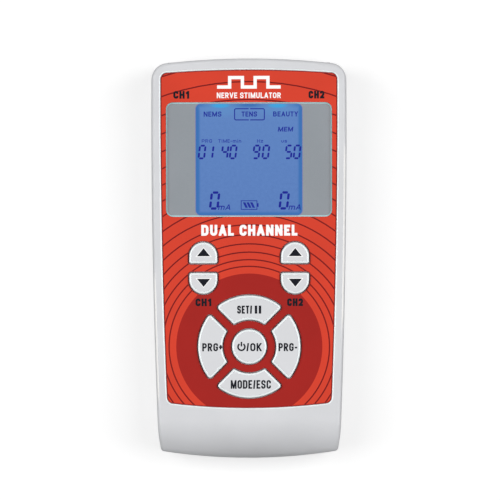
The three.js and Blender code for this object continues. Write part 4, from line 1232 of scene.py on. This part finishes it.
def turned(name, profile, x, y, material, replaces=()):
    """A piece turned round a line along +Y, in the middle of the top end's height."""
    piece = lathe(profile, x, y, PARTING_Z, lying=True, name=name)
    smooth(piece)
    show(piece, "case", material, replaces)


def sockets():
    contact = metal("socket_contact", (196, 160, 96), 0.3)
    for side, channel in zip(MIRROR, ("ch1", "ch2")):
        x = side * SOCKET_X
        turned(f"socket_{channel}",
               [(0, 0), (5.2, 0), (5.2, 12.4), (5.0, 12.6), (4.4, 12.6), (4.2, 12.4), (4.2, 6.6),
                (1.8, 6.6), (1.8, 1.2), (0, 1.2)],
               x, 56, black_plastic, [f"output_jack_{channel}"])
        turned(f"socket_contact_{channel}",
               [(0, 0), (1.75, 0), (1.75, 5.2), (1.5, 5.4), (1.2, 5.4), (1.1, 5.2), (1.1, 0.4),
                (0, 0.4)],
               x, 57.3, contact)
    turned("charge_socket_round",
           [(0, 0), (4, 0), (4, 15.0), (3.8, 15.2), (3.3, 15.2), (3.1, 15), (3.1, 6.2), (1, 6.2),
            (1, 13.7), (0.6, 14.2), (0, 14.2)],
           0, 54, black_plastic, ["charge_socket"])


def case_screws():
    steel = metal("screw_steel", (186, 188, 192), 0.28)
    for i, (x, y) in enumerate(SCREW_WELLS):
        head = lathe([(0, 0), (1.2, 0.05), (1.9, 0.3), (2.2, 0.75), (2.2, 1.7), (1.05, 1.7),
                      (1.05, 17), (0, 17.7)], x, y, 1.4, name=f"screw_head_{i + 1}")
        turn = Matrix.Rotation(radians(17 + 31 * i), 2)
        tools = []
        for a, b in ((1.3, 0.22), (0.22, 1.3)):
            square = ((-1, -1), (1, -1), (1, 1), (-1, 1))
            corners = (turn @ Vector((sx * a, sy * b)) for sx, sy in square)
            tools.append(prism([(x + c.x, y + c.y) for c in corners], 0, 2.4))
        combine(head, *tools)
        smooth(head)
        show(head, "case", steel, [f"case_screw_{i + 1}"])


# ---------------- what stays as the CAD has it

def finish_cad_nodes():
    sleeve = plastic("capacitor_sleeve", (40, 44, 92), 0.35, 1.0, 0.01, 0.1)
    looks = {
        "screen_lens": clear_lens(),
        "keypad_mat": rubber_grey,
        "lcd_holder": white_plastic,
        "zebra_strip": plastic("zebra_rubber", (226, 196, 196), 0.8),
        "backlight_guide": plastic("light_guide", (222, 234, 246), 0.2),
        "main_board": plastic("board_green", (30, 92, 58), 0.35, 0.8, 0.01, 0.2),
        "microcontroller": plastic("chip_epoxy", (28, 28, 30), 0.55, 0.3, 0.01, 0.1),
        "buzzer": black_plastic,
        "battery_wrap": plastic("shrink_sleeve", (44, 118, 82), 0.3, 1.5, 0.02, 0.1),
        "battery_header": white_plastic,
        "battery_plug": white_plastic,
        "battery_lead_positive": plastic("wire_red", (188, 30, 28), 0.5),
        "battery_lead_negative": plastic("wire_black", (28, 28, 30), 0.5),
    }
    families = {
        "pill_": rubber_black,
        "transformer_": metal("copper_winding", (196, 128, 66), 0.35, (1, 20, 1)),
        "storage_": sleeve,
        "filter_": sleeve,
        "backlight_led_": plastic("lamp_body", (238, 228, 160), 0.4),
        "battery_cell_": metal("cell_nickel", (180, 182, 186), 0.28),
        "board_screw_": metal("board_screw_steel", (186, 188, 192), 0.3),
    }
    for name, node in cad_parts.items():
        look = looks.get(name)
        for start, family_look in families.items():
            if name.startswith(start):
                look = family_look
        if look:
            node.data.materials.clear()
            node.data.materials.append(look)


# ---------------- the studio

def seen_only(tree, lighting, seen, strength):
    """Gives the stage one strength where it lights the unit, and a whiter one to look at."""
    path = tree.nodes.new("ShaderNodeLightPath")
    choice = tree.nodes.new("ShaderNodeMapRange")
    choice.inputs["To Min"].default_value = lighting
    if isinstance(seen, float):
        choice.inputs["To Max"].default_value = seen
    else:
        tree.links.new(seen, choice.inputs["To Max"])
    tree.links.new(path.outputs["Is Camera Ray"], choice.inputs["Value"])
    tree.links.new(choice.outputs["Result"], strength)


def studio():
    scene = bpy.context.scene
    scene.view_settings.view_transform = "Standard"
    reach = 2000
    floor = new_mesh("floor", [(-reach, -reach, 0), (reach, -reach, 0), (reach, reach, 0),
                               (-reach, reach, 0)], [[0, 1, 2, 3]])
    paper = Surface("floor_paper", (190, 190, 190), 0.9).mottle(0.004, 40)
    paper.set("Specular IOR Level", 0.0)
    paper.set("Emission Color", (1, 1, 1, 1))
    # Far from the lights the paper is kept as white as the room behind it.
    away = paper.tree.nodes.new("ShaderNodeVectorMath")
    away.operation = "LENGTH"
    paper.link(paper.coords, away.inputs[0])
    whiteness = paper.ranged(away.outputs["Value"], 0.3, 1.2, 0.56, 1.0)
    seen_only(paper.tree, 0.0, whiteness, paper.shader.inputs["Emission Strength"])
    floor.data.materials.append(paper.material)
    world = bpy.data.worlds.new("studio")
    scene.world = world
    world.use_nodes = True
    background = world.node_tree.nodes["Background"]
    background.inputs["Color"].default_value = (1, 1, 1, 1)
    seen_only(world.node_tree, 0.08, 1.0, background.inputs["Strength"])

    def softbox(name, azimuth, elevation, distance, width, height, power):
        """A light at an azimuth from +Y towards +X, aimed at the unit."""
        a, e = radians(azimuth), radians(elevation)
        place = Vector((sin(a) * cos(e), cos(a) * cos(e), sin(e)))
        light = bpy.data.lights.new(name, "AREA")
        light.shape = "RECTANGLE"
        light.size, light.size_y = width, height
        light.energy = power
        lamp = new_object(name, light)
        lamp.location = place * distance
        lamp.rotation_euler = place.to_track_quat("Z", "Y").to_euler()
        lamp.visible_camera = False

    softbox("softbox_right", 82, 56, 2.4, 1.4, 2.0, 37)
    softbox("softbox_left", -82, 56, 2.4, 1.4, 2.0, 37)

    camera = new_object("camera", bpy.data.cameras.new("camera"))
    distance, seen_width, sensor = 2.5, 0.175, 36.0
    camera.data.sensor_width = sensor
    camera.data.lens = sensor * distance / seen_width
    camera.data.clip_end = 100
    camera.location = (0.0003, 0.0029, (PARTING_Z + FACE_Z) / 2 * MM + distance)
    camera.rotation_euler.z = radians(-0.1)
    scene.camera = camera


studio()
front_case()
rear_case()
battery_door()
label_film()
window_mask()
display()
for key_name, key_outline in KEYS.items():
    key_cap(key_name, key_outline)
key_legends()
power_sign()
channel_arrows()
label_legends()
pulse_sign()
sockets()
case_screws()
finish_cad_nodes()
